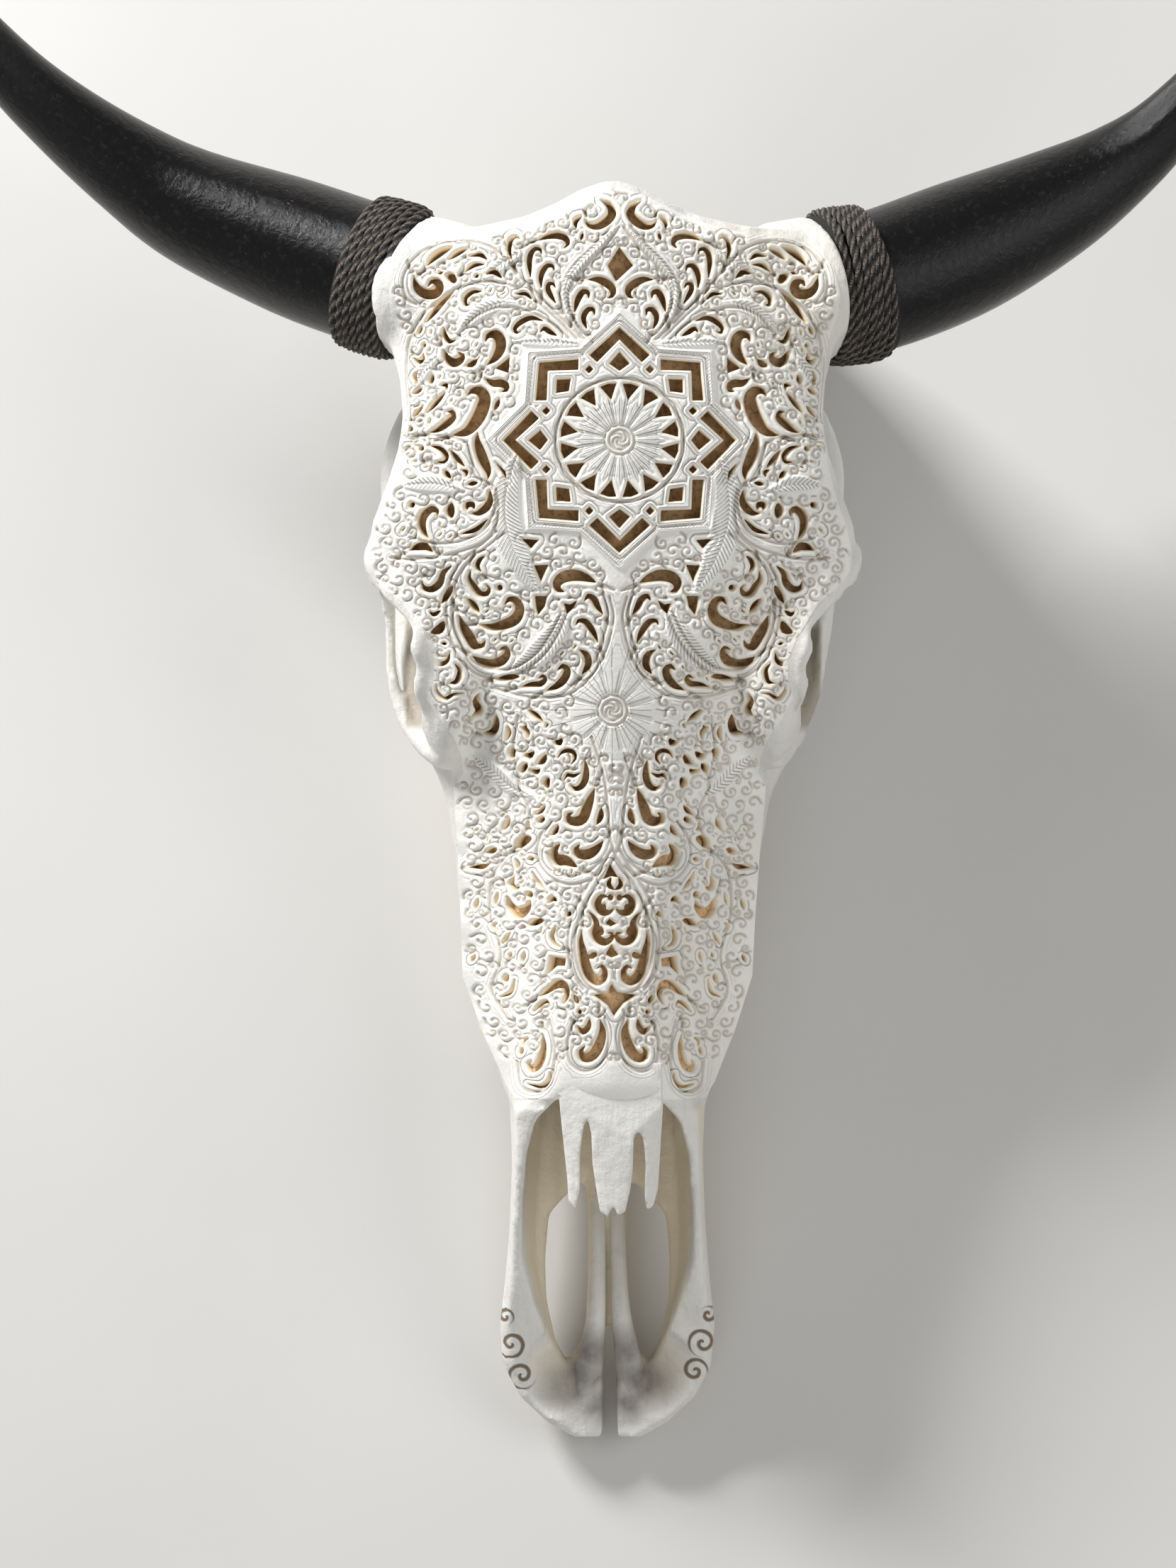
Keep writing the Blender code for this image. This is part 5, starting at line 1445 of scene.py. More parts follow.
FURROWS = furrows()
VEINS = main_lines()
LEAF_EDGE, LEAF_SIDE, LEAF_ALONG = leaf_fields()
STAR_EDGE = blank()
polygon(STAR_EDGE, OUTLINE_OF_STAR, reach=90.0)
STAR_RADIUS = np.hypot(GX - STAR[0], (GY - STAR[1]) / STAR_SQUASH)
SCROLLS, SCROLL_RIM = scroll_fields()
CALM = np.maximum(1.0 - smoothstep(STAR_RADIUS, 84.0, 88.0), 1.0 - smoothstep(LEAF_EDGE, -2.0, 0.0))
CALM = np.maximum(CALM, 1.0 - smoothstep(SCROLL_RIM, 0.0, 1.5))
RELIEF = soften_net(relief(), 1)
print("relief:", round(float(RELIEF.min()), 2), "to", round(float(RELIEF.max()), 2), "mm")

# %% [markdown]
# ## From drawing to plates
# A carver works from the drawing down: holes are sawn through, their edges are rounded, and veins are
# engraved. Here a fine net is laid over the carved region, its columns spread evenly over the curve of
# the bone. Cells that fall in a hole are dropped, the rims are drawn in to the exact outline, and the
# sheet is given its thickness.

# %% Lay out the net of the plates
COLUMNS = 520
ROWS = 930
BANDS = 6
BACK_KEPT = 0.10
MOST_TRIANGLES = 112000
CREST_FADE = 620.0


def row_levels():
    """Levels of the rows down the flank, a little closer where the crest spreads them."""
    at = np.linspace(CORNER_LEVEL, FOOT_LEVEL, 400)
    density = 1.0 + 0.35 * (1.0 - smoothstep(at, 400.0, CREST_FADE))
    share = np.concatenate([[0.0], np.cumsum(0.5 * (density[1:] + density[:-1]))])
    return np.interp(np.linspace(0.0, share[-1], ROWS), share, at)


def lay_net():
    """Pixel places of every net point, evenly spread along each row over the curved bone."""
    levels = row_levels()
    fine = np.linspace(0.0, 1.0, 500)
    even = np.linspace(0.0, 1.0, COLUMNS)
    left_corner = flank_x(CORNER_LEVEL, -1)
    right_corner = flank_x(CORNER_LEVEL, 1)
    bow = crest_y(left_corner + (right_corner - left_corner) * fine) - CORNER_LEVEL
    net = np.empty((ROWS, COLUMNS, 2))
    for j, level in enumerate(levels):
        fade = 1.0 - smoothstep(level, CORNER_LEVEL, CREST_FADE)
        low = flank_x(level, -1)
        high = flank_x(level, 1)
        px = low + (high - low) * fine
        py = level + bow * fade
        x, y = to_face(px, py)
        z = height_at(px, py)
        steps = np.sqrt(np.diff(x) ** 2 + np.diff(y) ** 2 + np.diff(z) ** 2)
        along = np.concatenate([[0.0], np.cumsum(steps)])
        where = np.interp(even * along[-1], along, fine)
        net[j, :, 0] = low + (high - low) * where
        net[j, :, 1] = np.interp(where, fine, py)
    return net


PLATE_NET = lay_net()
print("net:", PLATE_NET.shape[:2])

# %% Cut, round and thicken the plates
PLATE_THICKNESSES = (3.2, 4.0)
PLATE_LIFT = 0.12
SHARP_ANGLE = math.radians(62.0)
# What each point of a plate notes for the material, and the sheet where it is read
NOTED = {
    "hole": OPEN, "ribbon": RIBBON, "calm": CALM, "vein": VEINS, "furrow": FURROWS, "scroll": SCROLLS,
    "star": STAR_EDGE, "leaf": LEAF_EDGE, "rib": LEAF_SIDE, "along": LEAF_ALONG,
}


def draw_in(px, py, rims):
    """Moves rim points to the exact outline of their hole."""
    for _ in range(2):
        away, gx, gy = [on_sheet(sheet, px, py) for sheet in (OPEN, OPEN_X, OPEN_Y)]
        size = np.maximum(np.hypot(gx, gy), 0.3)
        step = np.clip(away, -1.6, 1.6) * rims
        px = px - step * gx / size
        py = py - step * gy / size
    return px, py


def open_net(bm, first_row, last_row):
    """A grid of net points without the cells that fall in holes. Each point keeps its number."""
    rows = last_row - first_row
    number = bm.verts.layers.int.new("number")
    grid = bmesh.ops.create_grid(bm, x_segments=COLUMNS - 1, y_segments=rows, size=1.0)
    for n, v in enumerate(grid["verts"]):
        v[number] = first_row * COLUMNS + n
    bm.faces.ensure_lookup_table()
    points = PLATE_NET.reshape(-1, 2)
    corners = np.array([[v[number] for v in f.verts] for f in bm.faces])
    centre = points[corners].mean(axis=1)
    away = on_sheet(OPEN, *centre.T)
    holes = [bm.faces[n] for n in np.nonzero(away < 0.0)[0]]
    bmesh.ops.delete(bm, geom=holes, context="FACES")
    pinched = [v for v in bm.verts if v.is_boundary and sum(e.is_boundary for e in v.link_edges) > 2]
    bmesh.ops.delete(bm, geom=pinched, context="VERTS")


def take_numbers(mesh, name, kind=np.float32):
    """Reads what the points of a mesh carry under a name, and removes it from them."""
    values = np.empty(len(mesh.vertices), dtype=kind)
    mesh.attributes[name].data.foreach_get("value", values)
    mesh.attributes.remove(mesh.attributes[name])
    return values


def plate(name, first_row, last_row):
    """One band of the openwork, between two rows of the net."""
    bm = bmesh.new()
    open_net(bm, first_row, last_row)
    rim = bm.verts.layers.float.new("rim")
    front = bm.verts.layers.float.new("front")
    for v in bm.verts:
        if v.is_boundary:
            v[rim] = 1.0
    grown = bmesh.ops.extrude_face_region(bm, geom=bm.faces[:])
    for v in grown["geom"]:
        if isinstance(v, bmesh.types.BMVert):
            v[front] = 1.0
    for f in bm.faces:
        f.smooth = True
    mesh = mesh_from(bm, name)
    numbers = take_numbers(mesh, "number", np.int32)
    rims = take_numbers(mesh, "rim")
    in_front = take_numbers(mesh, "front") > 0.5
    px, py = PLATE_NET.reshape(-1, 2)[numbers].T
    column = numbers % COLUMNS
    row = numbers // COLUMNS
    edge = (column == 0) | (column == COLUMNS - 1) | (row == first_row) | (row == last_row)
    px, py = draw_in(px, py, rims * ~edge)
    x, y = to_face(px, py)
    place = np.stack([x, y, height_at(px, py)], axis=-1)
    normal = normal_at(px, py)
    up = PLATE_LIFT + on_sheet(RELIEF, px, py) * smoothstep(inside_by(px, py), 1.0, 8.0)
    up = np.where(in_front, up, -nose_to_face(py, PLATE_THICKNESSES))
    place = (place + normal * up[:, None]) * MM
    turned = place @ np.array(FACE.to_3x3()).T + np.array(FACE.translation)
    mesh.vertices.foreach_set("co", turned.astype(np.float32).ravel())
    note(mesh, depth=np.where(in_front, 0.0, 1.0), sheet_x=px, sheet_y=py)
    note(mesh, **{label: on_sheet(sheet, px, py) for label, sheet in NOTED.items()})
    mesh.update()
    if faces_inwards(mesh):
        mesh.flip_normals()
    obj = new_object(name, mesh)
    thin_back(obj, in_front)
    thin_out(obj, MOST_TRIANGLES)
    obj.data.set_sharp_from_angle(angle=SHARP_ANGLE)
    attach(obj, "root")
    print(name, "triangles:", triangles(obj))
    return obj


def thin_back(obj, in_front):
    """The hidden back of a plate is smooth, so most of its points can go."""
    back = obj.vertex_groups.new(name="back")
    back.add([int(n) for n in np.nonzero(~in_front)[0]], 1.0, "REPLACE")
    thin = obj.modifiers.new("thin_back", "DECIMATE")
    thin.vertex_group = "back"
    thin.vertex_group_factor = 1000.0
    thin.ratio = 1.0 - float((~in_front).mean()) * (1.0 - BACK_KEPT)
    settle(obj)


def faces_inwards(mesh):
    """A closed sheet has a negative volume when it is inside out."""
    bm = bmesh.new()
    bm.from_mesh(mesh)
    volume = bm.calc_volume(signed=True)
    bm.free()
    return volume < 0.0


cuts = np.linspace(0, ROWS - 1, BANDS + 1).astype(int)
plates = [plate("carving_" + str(n + 1), int(a), int(b)) for n, (a, b) in enumerate(zip(cuts, cuts[1:]))]

# %% [markdown]
# ## Horn sheaths
# A sheath is a long curved cone of polished black horn. It is lofted in many round slices along its
# line, and its tip is closed by a small round end.

# %% Loft the sheaths
SHEATH_START = 16.0
SHEATH_SLICES = 150
SHEATH_SIDES = 56
TIP_LENGTH = 2.0


def mark_growth(mesh, line):
    """Notes on each point how far along the horn it lies, and on which side of it."""
    points = np.array(line.points)
    rows = []
    for v in mesh.vertices:
        here = v.co / MM
        d = float(line.reach[np.argmin(((points - np.array(here)) ** 2).sum(axis=1))])
        place, forward, radius = line.at(d)
        across = forward.cross(Vector((0.0, 0.0, 1.0))).normalized()
        away = (here - place) / max(radius, 1.0)
        away = away - forward * away.dot(forward)
        rows.append((d + (here - place).dot(forward), away.dot(across), away.dot(across.cross(forward))))
    along, side_a, side_b = np.array(rows).T
    note(mesh, along=along, side_a=side_a, side_b=side_b)


def sheath(side, line):
    """One horn sheath in quads, with a round tip."""
    bm = bmesh.new()
    tip = line.reach[-1] - TIP_LENGTH
    stations = list(np.linspace(SHEATH_START, tip, SHEATH_SLICES))
    rings = [line.ring(d, line.at(d)[2] * 0.995, SHEATH_SIDES) for d in stations]
    for step in (0.4, 0.75, 0.95):
        size = line.at(tip)[2] * math.sqrt(1.0 - step * step)
        rings.append(line.ring(tip + 0.8 * TIP_LENGTH * step, size, SHEATH_SIDES))
    add_loft(bm, rings)
    for f in bm.faces:
        f.smooth = len(f.verts) == 4
    mesh = mesh_from(bm, side + "_sheath")
    mark_growth(mesh, line)
    mesh.transform(FACE)
    obj = new_object(side + "_sheath", mesh)
    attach(obj, "root")
    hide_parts(side + "_horn")
    return obj


sheaths = [sheath(side, line) for side, line in HORN_LINES.items()]

# %% [markdown]
# ## Cord bindings
# Each joint is wound with one length of cord, turn beside turn. The cord is three strands twisted
# together, so its section is a three-lobed ring that turns as it goes round the horn.

# %% Wind the cords
CORD_TURNS = 7
STEPS_A_TURN = 190
CORD_SIDES = 16
TWIST_PITCH = 17.0
STRANDS = 3
LEAST_SIZE = 0.62


def wander(turn, seed):
    """Hand-wound turns never lie quite true."""
    return 0.35 * math.sin(2.3 * turn + seed) + 0.2 * math.sin(6.1 * turn + 2.0 * seed)


def place_key(p):
    return round(p.x, 3), round(p.y, 3), round(p.z, 3)


def winding(side, line, seed):
    """One cord wound turn beside turn, over a plain sleeve that closes the gaps."""
    bm = bmesh.new()
    crown = bm.verts.layers.float.new("crown")
    steps = STEPS_A_TURN * CORD_TURNS
    spread = (CORD_TURNS - 0.75) / CORD_TURNS
    rings = []
    lobes = {}
    travelled = 0.0
    last = None
    for i in range(steps + 1):
        turn = CORD_TURNS * i / steps
        angle = 2.0 * math.pi * turn
        d = BINDING_START + 1.9 + turn * CORD_THICKNESS * spread + 0.5 * wander(turn * 2.0 * math.pi, seed)
        forward = line.at(d)[1]
        lift = 0.25 + 0.5 * CORD_THICKNESS + 0.25 * wander(angle * 1.7, seed + 1.0)
        lift -= 1.2 * abs(2.0 * turn / CORD_TURNS - 1.0) ** 4
        inner = line.around(d, angle, 0.0)
        middle = line.around(d, angle, line.at(d)[2] + lift)
        out = (middle - inner).normalized()
        if last is not None:
            travelled += (middle - last).length
        last = middle
        twist = 2.0 * math.pi * travelled / TWIST_PITCH
        ring = []
        for k in range(CORD_SIDES):
            a = 2.0 * math.pi * k / CORD_SIDES
            lobe = abs(math.cos(0.5 * STRANDS * (a - twist)))
            size = 0.56 * CORD_THICKNESS * (LEAST_SIZE + (1.0 - LEAST_SIZE) * lobe)
            ring.append(middle + (out * math.cos(a) + forward * math.sin(a)) * size)
            lobes[place_key(ring[-1])] = lobe
        rings.append(ring)
    add_loft(bm, rings)
    for v in bm.verts:
        v[crown] = lobes.get(place_key(v.co / MM), 0.5)
    sleeve = (BINDING_START + 0.4, BINDING_START + BINDING_WIDTH)
    add_loft(bm, [line.ring(d, line.at(d)[2] + 0.5, 48) for d in sleeve])
    bm.transform(FACE)
    for f in bm.faces:
        f.smooth = True
    obj = new_object(side + "_winding", mesh_from(bm, side + "_winding"))
    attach(obj, "root")
    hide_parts(side + "_binding")
    return obj


windings = [winding(side, line, seed) for seed, (side, line) in enumerate(HORN_LINES.items())]
print("cord faces:", [len(w.data.polygons) for w in windings])

# %% [markdown]
# ## Materials
# Each finish is a small graph on the shader that every renderer knows. Colours vary at the scale the
# real surface shows, and fine relief goes into the bump.

# %% A bench for finishes


class Finish:
    """A material with its shader, and short calls that add and join nodes."""

    def __init__(self, name, roughness):
        self.material = bpy.data.materials.new(name)
        self.material.use_nodes = True
        self.nodes = self.material.node_tree.nodes
        self.links = self.material.node_tree.links
        self.shader = self.nodes["Principled BSDF"]
        self.shader.inputs["Roughness"].default_value = roughness
        self.place = self.nodes.new("ShaderNodeTexCoord").outputs["Object"]

    def join(self, source, target):
        self.links.new(source, target)

    def attribute(self, name):
        node = self.nodes.new("ShaderNodeAttribute")
        node.attribute_name = name
        return node.outputs["Fac"]

    def noise(self, scale, detail=3.0, roughness=0.55, place=None):
        node = self.nodes.new("ShaderNodeTexNoise")
        node.inputs["Scale"].default_value = scale
        node.inputs["Detail"].default_value = detail
        node.inputs["Roughness"].default_value = roughness
        self.join(place or self.place, node.inputs["Vector"])
        return node.outputs["Fac"]

    def stretched(self, scale):
        node = self.nodes.new("ShaderNodeMapping")
        node.inputs["Scale"].default_value = scale
        self.join(self.place, node.inputs["Vector"])
        return node.outputs["Vector"]

    def span(self, value, low, high, to_low=0.0, to_high=1.0):
        node = self.nodes.new("ShaderNodeMapRange")
        for name, number in zip(("From Min", "From Max", "To Min", "To Max"), (low, high, to_low, to_high)):
            node.inputs[name].default_value = number
        self.join(value, node.inputs["Value"])
        return node.outputs["Result"]

    def maths(self, kind, a, b=None):
        node = self.nodes.new("ShaderNodeMath")
        node.operation = kind
        for slot_number, value in enumerate((a, b)):
            if value is None:
                continue
            if isinstance(value, (int, float)):
                node.inputs[slot_number].default_value = value
            else:
                self.join(value, node.inputs[slot_number])
        return node.outputs["Value"]

    def times(self, a, b):
        return self.maths("MULTIPLY", a, b)

    def plus(self, a, b):
        return self.maths("ADD", a, b)

    def less(self, a, b):
        return self.maths("SUBTRACT", a, b)

    def length(self, x, y):
        return self.maths("SQRT", self.plus(self.times(x, x), self.times(y, y)))

    def together(self, x, y, z):
        node = self.nodes.new("ShaderNodeCombineXYZ")
        for socket, value in zip(node.inputs, (x, y, z)):
            self.join(value, socket)
        return node.outputs[0]

    def mix(self, amount, a, b):
        node = self.nodes.new("ShaderNodeMix")
        node.data_type = "RGBA"
        self.join(amount, node.inputs[0])
        for socket, value in ((node.inputs[6], a), (node.inputs[7], b)):
            if isinstance(value, tuple):
                socket.default_value = (*value, 1.0)
            else:
                self.join(value, socket)
        return node.outputs[2]

    def ramp(self, value, stops):
        node = self.nodes.new("ShaderNodeValToRGB")
        ramp = node.color_ramp
        while len(ramp.elements) < len(stops):
            ramp.elements.new(0.5)
        for element, (at, color) in zip(ramp.elements, stops):
            element.position = at
            element.color = (*color, 1.0)
        self.join(value, node.inputs["Fac"])
        return node.outputs["Color"]

    def color(self, value):
        self.join(value, self.shader.inputs["Base Color"])

    def bump(self, value, distance, strength):
        node = self.nodes.new("ShaderNodeBump")
        node.inputs["Strength"].default_value = strength
        node.inputs["Distance"].default_value = distance
        self.join(value, node.inputs["Height"])
        self.join(node.outputs["Normal"], self.shader.inputs["Normal"])

    def coat(self, *objects):
        for obj in objects:
            obj.data.materials.clear()
            obj.data.materials.append(self.material)


# %% [markdown]
# ### Bone
# Bleached bone is a warm white with faint grey and yellow clouds, and small pores. The spongy inside
# behind the carving is golden brown.

# %% Bone
BONE_WHITE = (0.81, 0.795, 0.752)
CARVED_WHITE = (0.93, 0.915, 0.865)
CARVED_GREY = (0.78, 0.765, 0.72)
BONE_GREY = (0.72, 0.705, 0.66)
BONE_GOLD = (0.66, 0.53, 0.35)
# Dust and painted shade in the cuts and grooves of the carving
DUST_AND_SHADE = (0.40, 0.345, 0.27)
GRAIN = (0.66, 0.625, 0.55)
CHALK = (0.90, 0.89, 0.86)
NOSE_CREAM = (0.86, 0.74, 0.52)
# Painted shade for the inside of the eye sockets
SOCKET_SHADE = (0.40, 0.36, 0.30)
CURL_BROWN = (0.20, 0.145, 0.09)
# Painted shade for the dished floor of the snout
SNOUT_SHADE = (0.19, 0.165, 0.14)
EYE_MIDDLE = 865.5
EYE_REACH = 294.0
# Carved curls on the end of the snout: middle, radius, gap between the turns, way round, start
SNOUT_CURLS = (
    (720.0, 1905.0, 22.0, 15.0, 1.0, 0.4), (735.0, 1950.0, 22.0, 15.0, -1.0, 2.1),
    (712.0, 1866.0, 13.0, 11.0, 1.0, 1.0), (993.0, 1903.0, 22.0, 15.0, -1.0, 0.9),
    (982.0, 1944.0, 20.0, 14.0, 1.0, 2.6), (1001.0, 1862.0, 13.0, 11.0, -1.0, 0.2),
)
# Painted shade on the dished floor of the snout, as soft brown-grey spots: middle and radius
SNOUT_SHADE_SPOTS = (
    (812.0, 1962.0, 66.0), (908.0, 1960.0, 68.0), (846.0, 1988.0, 46.0), (888.0, 1990.0, 42.0),
    (890.0, 1915.0, 46.0), (834.0, 1915.0, 44.0),
)


def bleached(finish, light, grey):
    """The outer colour of bleached bone: white, with clouds of grey and a few warmer patches."""
    white = finish.mix(finish.span(finish.noise(24.0, detail=6.0), 0.42, 0.75), light, grey)
    warm = finish.span(finish.noise(9.0, detail=3.0), 0.5, 0.72, 0.0, 0.3)
    return finish.mix(warm, white, (0.74, 0.66, 0.52))


bone_finish = Finish("bleached bone", 0.55)
depth = bone_finish.attribute("depth")
tan = bone_finish.mix(
    bone_finish.span(bone_finish.noise(90.0, detail=4.0), 0.35, 0.7), (0.80, 0.55, 0.30), (0.52, 0.32, 0.14)
)
speckle = bone_finish.span(bone_finish.noise(520.0, detail=2.0), 0.5, 0.62, 0.0, 0.5)
tan = bone_finish.mix(speckle, tan, (0.17, 0.09, 0.04))
tan = bone_finish.mix(bone_finish.span(depth, 0.9, 1.6), BONE_GOLD, tan)
plain = bleached(bone_finish, BONE_WHITE, BONE_GREY)
grain = bone_finish.noise(1.0, detail=5.0, roughness=0.65, place=bone_finish.stretched((420.0, 26.0, 200.0)))
plain = bone_finish.mix(bone_finish.span(grain, 0.54, 0.74, 0.0, 0.5), plain, GRAIN)
plain = bone_finish.mix(bone_finish.span(grain, 0.30, 0.42, 0.35, 0.0), plain, CHALK)
face_x = bone_finish.attribute("face_x")
face_y = bone_finish.attribute("face_y")
drop = bone_finish.attribute("drop")
off_middle = bone_finish.maths("ABSOLUTE", bone_finish.less(face_x, EYE_MIDDLE))
between_rims = bone_finish.span(off_middle, 120.0, 138.0, 1.0, 0.0)
in_nose = bone_finish.times(bone_finish.span(face_y, 1500.0, 1560.0), between_rims)
cream = bone_finish.times(bone_finish.span(drop, 4.0, 14.0, 0.0, 0.75), in_nose)
plain = bone_finish.mix(cream, plain, NOSE_CREAM)


def around(finish, px, py):
    """Distance and direction from a place of the photograph, in its pixels."""
    x = finish.less(face_x, px)
    y = finish.less(face_y, py)
    return finish.length(x, y), finish.maths("ARCTAN2", y, x)


def largest(finish, masks):
    """One mask that is, at each place, the largest of several."""
    out = masks[0]
    for mask in masks[1:]:
        out = finish.maths("MAXIMUM", out, mask)
    return out


def spot(finish, px, py, radius):
    """A soft round spot: one in its middle, nought from its rim on."""
    return finish.span(around(finish, px, py)[0], 0.2 * radius, radius, 1.0, 0.0)


def carved_curl(finish, px, py, radius, gap, spin, phase):
    """A spiral cut into the bone: one where the cut is, nought elsewhere."""
    far, turn = around(finish, px, py)
    wound = finish.times(finish.plus(turn, phase), spin * gap / (2.0 * math.pi))
    outwards = finish.plus(finish.less(far, wound), 8.0 * gap)
    beside = finish.maths("PINGPONG", outwards, 0.5 * gap)
    cut = finish.span(beside, 1.4, 3.4, 1.0, 0.0)
    return finish.times(cut, finish.span(far, radius - 2.0, radius, 1.0, 0.0))


# Painted shade: inside the eye sockets the bone darkens to grey-brown the deeper it lies below their thin
# outer rims
beside_eye = bone_finish.times(
    bone_finish.span(off_middle, 236.0, 246.0),
    bone_finish.span(off_middle, EYE_REACH, EYE_REACH + 6.0, 1.0, 0.0)
)
level_with_eye = bone_finish.times(
    bone_finish.span(face_y, 860.0, 885.0), bone_finish.span(face_y, 1020.0, 1036.0, 1.0, 0.0)
)
painted_socket_shade = bone_finish.times(beside_eye, level_with_eye)
painted_socket_shade = bone_finish.times(painted_socket_shade, bone_finish.span(drop, 7.0, 16.0))
plain = bone_finish.mix(painted_socket_shade, plain, SOCKET_SHADE)
curls = largest(bone_finish, [carved_curl(bone_finish, *curl) for curl in SNOUT_CURLS])
curls = bone_finish.times(curls, bone_finish.span(drop, 9.0, 13.0, 1.0, 0.0))
plain = bone_finish.mix(curls, plain, CURL_BROWN)
# Painted shade: mottled brown-grey darkens the middle of the dished snout floor
painted_snout_shade = largest(bone_finish, [spot(bone_finish, *place) for place in SNOUT_SHADE_SPOTS])
mottled = bone_finish.span(bone_finish.noise(60.0, detail=6.0), 0.3, 0.62, 0.5, 1.0)
plain = bone_finish.mix(bone_finish.times(painted_snout_shade, mottled), plain, SNOUT_SHADE)
bone_finish.color(bone_finish.mix(bone_finish.span(depth, 0.05, 0.5), plain, tan))
pores = bone_finish.span(bone_finish.noise(900.0, detail=3.0), 0.58, 0.70, 0.0, -0.18)
dents = bone_finish.span(bone_finish.noise(130.0, detail=5.0), 0.3, 0.7, -0.5, 0.5)
rough = bone_finish.plus(pores, dents)
rough = bone_finish.plus(rough, bone_finish.times(grain, -0.9))
rough = bone_finish.less(rough, bone_finish.times(curls, 2.0))
bone_finish.bump(rough, 0.0006, 0.75)
bone_finish.coat(bone)

# %% [markdown]
# ### Engraved bone
# The finest cuts are drawn by the material from numbers that each point of a plate carries: where it
# lies on the drawing, and how far it is from a hole, a line or the midrib of a leaf. Such cuts stay
# sharp at any size. Dust and painted shade grey them, and a sawn edge is gold, darkening to tan inside the
# hole.

# %% Engraved bone
cf = Finish("engraved bone", 0.5)
hole = cf.attribute("hole")
depth = cf.attribute("depth")
sheet_x = cf.attribute("sheet_x")
sheet_y = cf.attribute("sheet_y")


def cut_line(finish, distance, half_width, deep):
    """A V cut where a distance is nought: its depth in mm."""
    return finish.span(distance, 0.0, half_width, deep, 0.0)


def rays(finish, centre, squash, count, inner, outer, half_width, deep):
    """Fine cuts that point to a centre, between two radii."""
    x = finish.less(sheet_x, centre[0])
    y = finish.maths("DIVIDE", finish.less(sheet_y, centre[1]), squash)
    r = finish.length(x, y)
    turn = finish.times(finish.maths("ARCTAN2", y, x), 0.5 * count / math.pi)
    beside = finish.times(finish.maths("PINGPONG", finish.plus(turn, 50.0), 0.5), r)
    cut = cut_line(finish, finish.times(beside, 2.0 * math.pi / count), half_width, deep)
    ring = finish.times(
        finish.span(r, inner, inner + 2.0), finish.span(r, outer - 6.0, outer, 1.0, 0.0)
    )
    return finish.times(cut, ring)


ribbon = cf.attribute("ribbon")
not_calm = cf.less(1.0, cf.attribute("calm"))
turns = cf.maths("DIVIDE", hole, ribbon)
near = cf.times(cf.span(turns, 0.6, 0.8), cf.span(turns, 1.15, 1.7, 1.0, 0.0))
near = cf.times(near, not_calm)
seam = cf.maths("PINGPONG", hole, cf.times(ribbon, 0.5))
contour = cf.times(cut_line(cf, seam, 1.3, 0.45), near)
leaf = cf.attribute("leaf")
rib = cf.attribute("rib")
slant = cf.less(cf.attribute("along"), cf.times(rib, BARB_SLANT))
beside_barb = cf.maths("PINGPONG", cf.plus(slant, 0.5 * BARB_PITCH), 0.5 * BARB_PITCH)
barbs = cut_line(cf, beside_barb, 1.3, 0.5)
on_leaf = cf.span(leaf, -3.5, -1.0, 1.0, 0.0)
barbs = cf.times(barbs, on_leaf)
flutes = cf.plus(
    rays(cf, STAR, STAR_SQUASH, 48, 23.0, 64.0, 0.9, 0.35),
    rays(cf, STAR, STAR_SQUASH, 96, 36.0, 60.0, 0.6, 0.2)
)
flower = cf.plus(
    rays(cf, ROSETTE, 1.0, 36, 23.0, 60.0, 1.0, 0.35), rays(cf, ROSETTE, 1.0, 24, 60.0, 92.0, 1.3, 0.45)
)
vein = cf.attribute("vein")
beside_vein = cf.times(cf.span(vein, 1.5, 2.5), cf.span(vein, 9.0, 14.0, 1.0, 0.0))
parallel = cf.times(cut_line(cf, cf.maths("PINGPONG", vein, 2.4), 1.0, 0.22), beside_vein)
parallel = cf.times(parallel, cf.span(turns, 1.0, 1.3))
parallel = cf.times(parallel, not_calm)
fine_cuts = cf.plus(cf.plus(contour, barbs), cf.plus(flutes, flower))
fine_cuts = cf.plus(fine_cuts, parallel)
# The bands of the star have a fine line along each edge, and its outer band is hatched
star = cf.attribute("star")
in_star = cf.times(cf.span(star, -3.0, -1.5, 1.0, 0.0), not_calm)
frame_line, outer, inner = [
    cut_line(cf, cf.maths("ABSOLUTE", cf.plus(edge, off)), 1.1, 0.4)
    for edge, off in ((hole, -3.9), (star, 4.2), (star, 11.0))
]
frames = cf.times(frame_line, in_star)
hatch = cut_line(cf, cf.maths("PINGPONG", cf.plus(sheet_x, sheet_y), 2.6), 1.1, 0.35)
hatched = cf.times(cf.span(star, -11.0, -10.0), cf.span(star, -5.5, -4.5, 1.0, 0.0))
bands = cf.plus(cf.plus(outer, inner), cf.times(hatch, hatched))
frames = cf.plus(frames, bands)
fine_cuts = cf.plus(fine_cuts, frames)
grooves = cf.plus(cf.span(vein, 0.2, 1.8, 0.6, 0.0), cf.span(cf.attribute("furrow"), 0.2, 1.8, 0.5, 0.0))
grooves = cf.plus(grooves, cf.span(cf.attribute("scroll"), 0.0, 1.8, 0.6, 0.0))
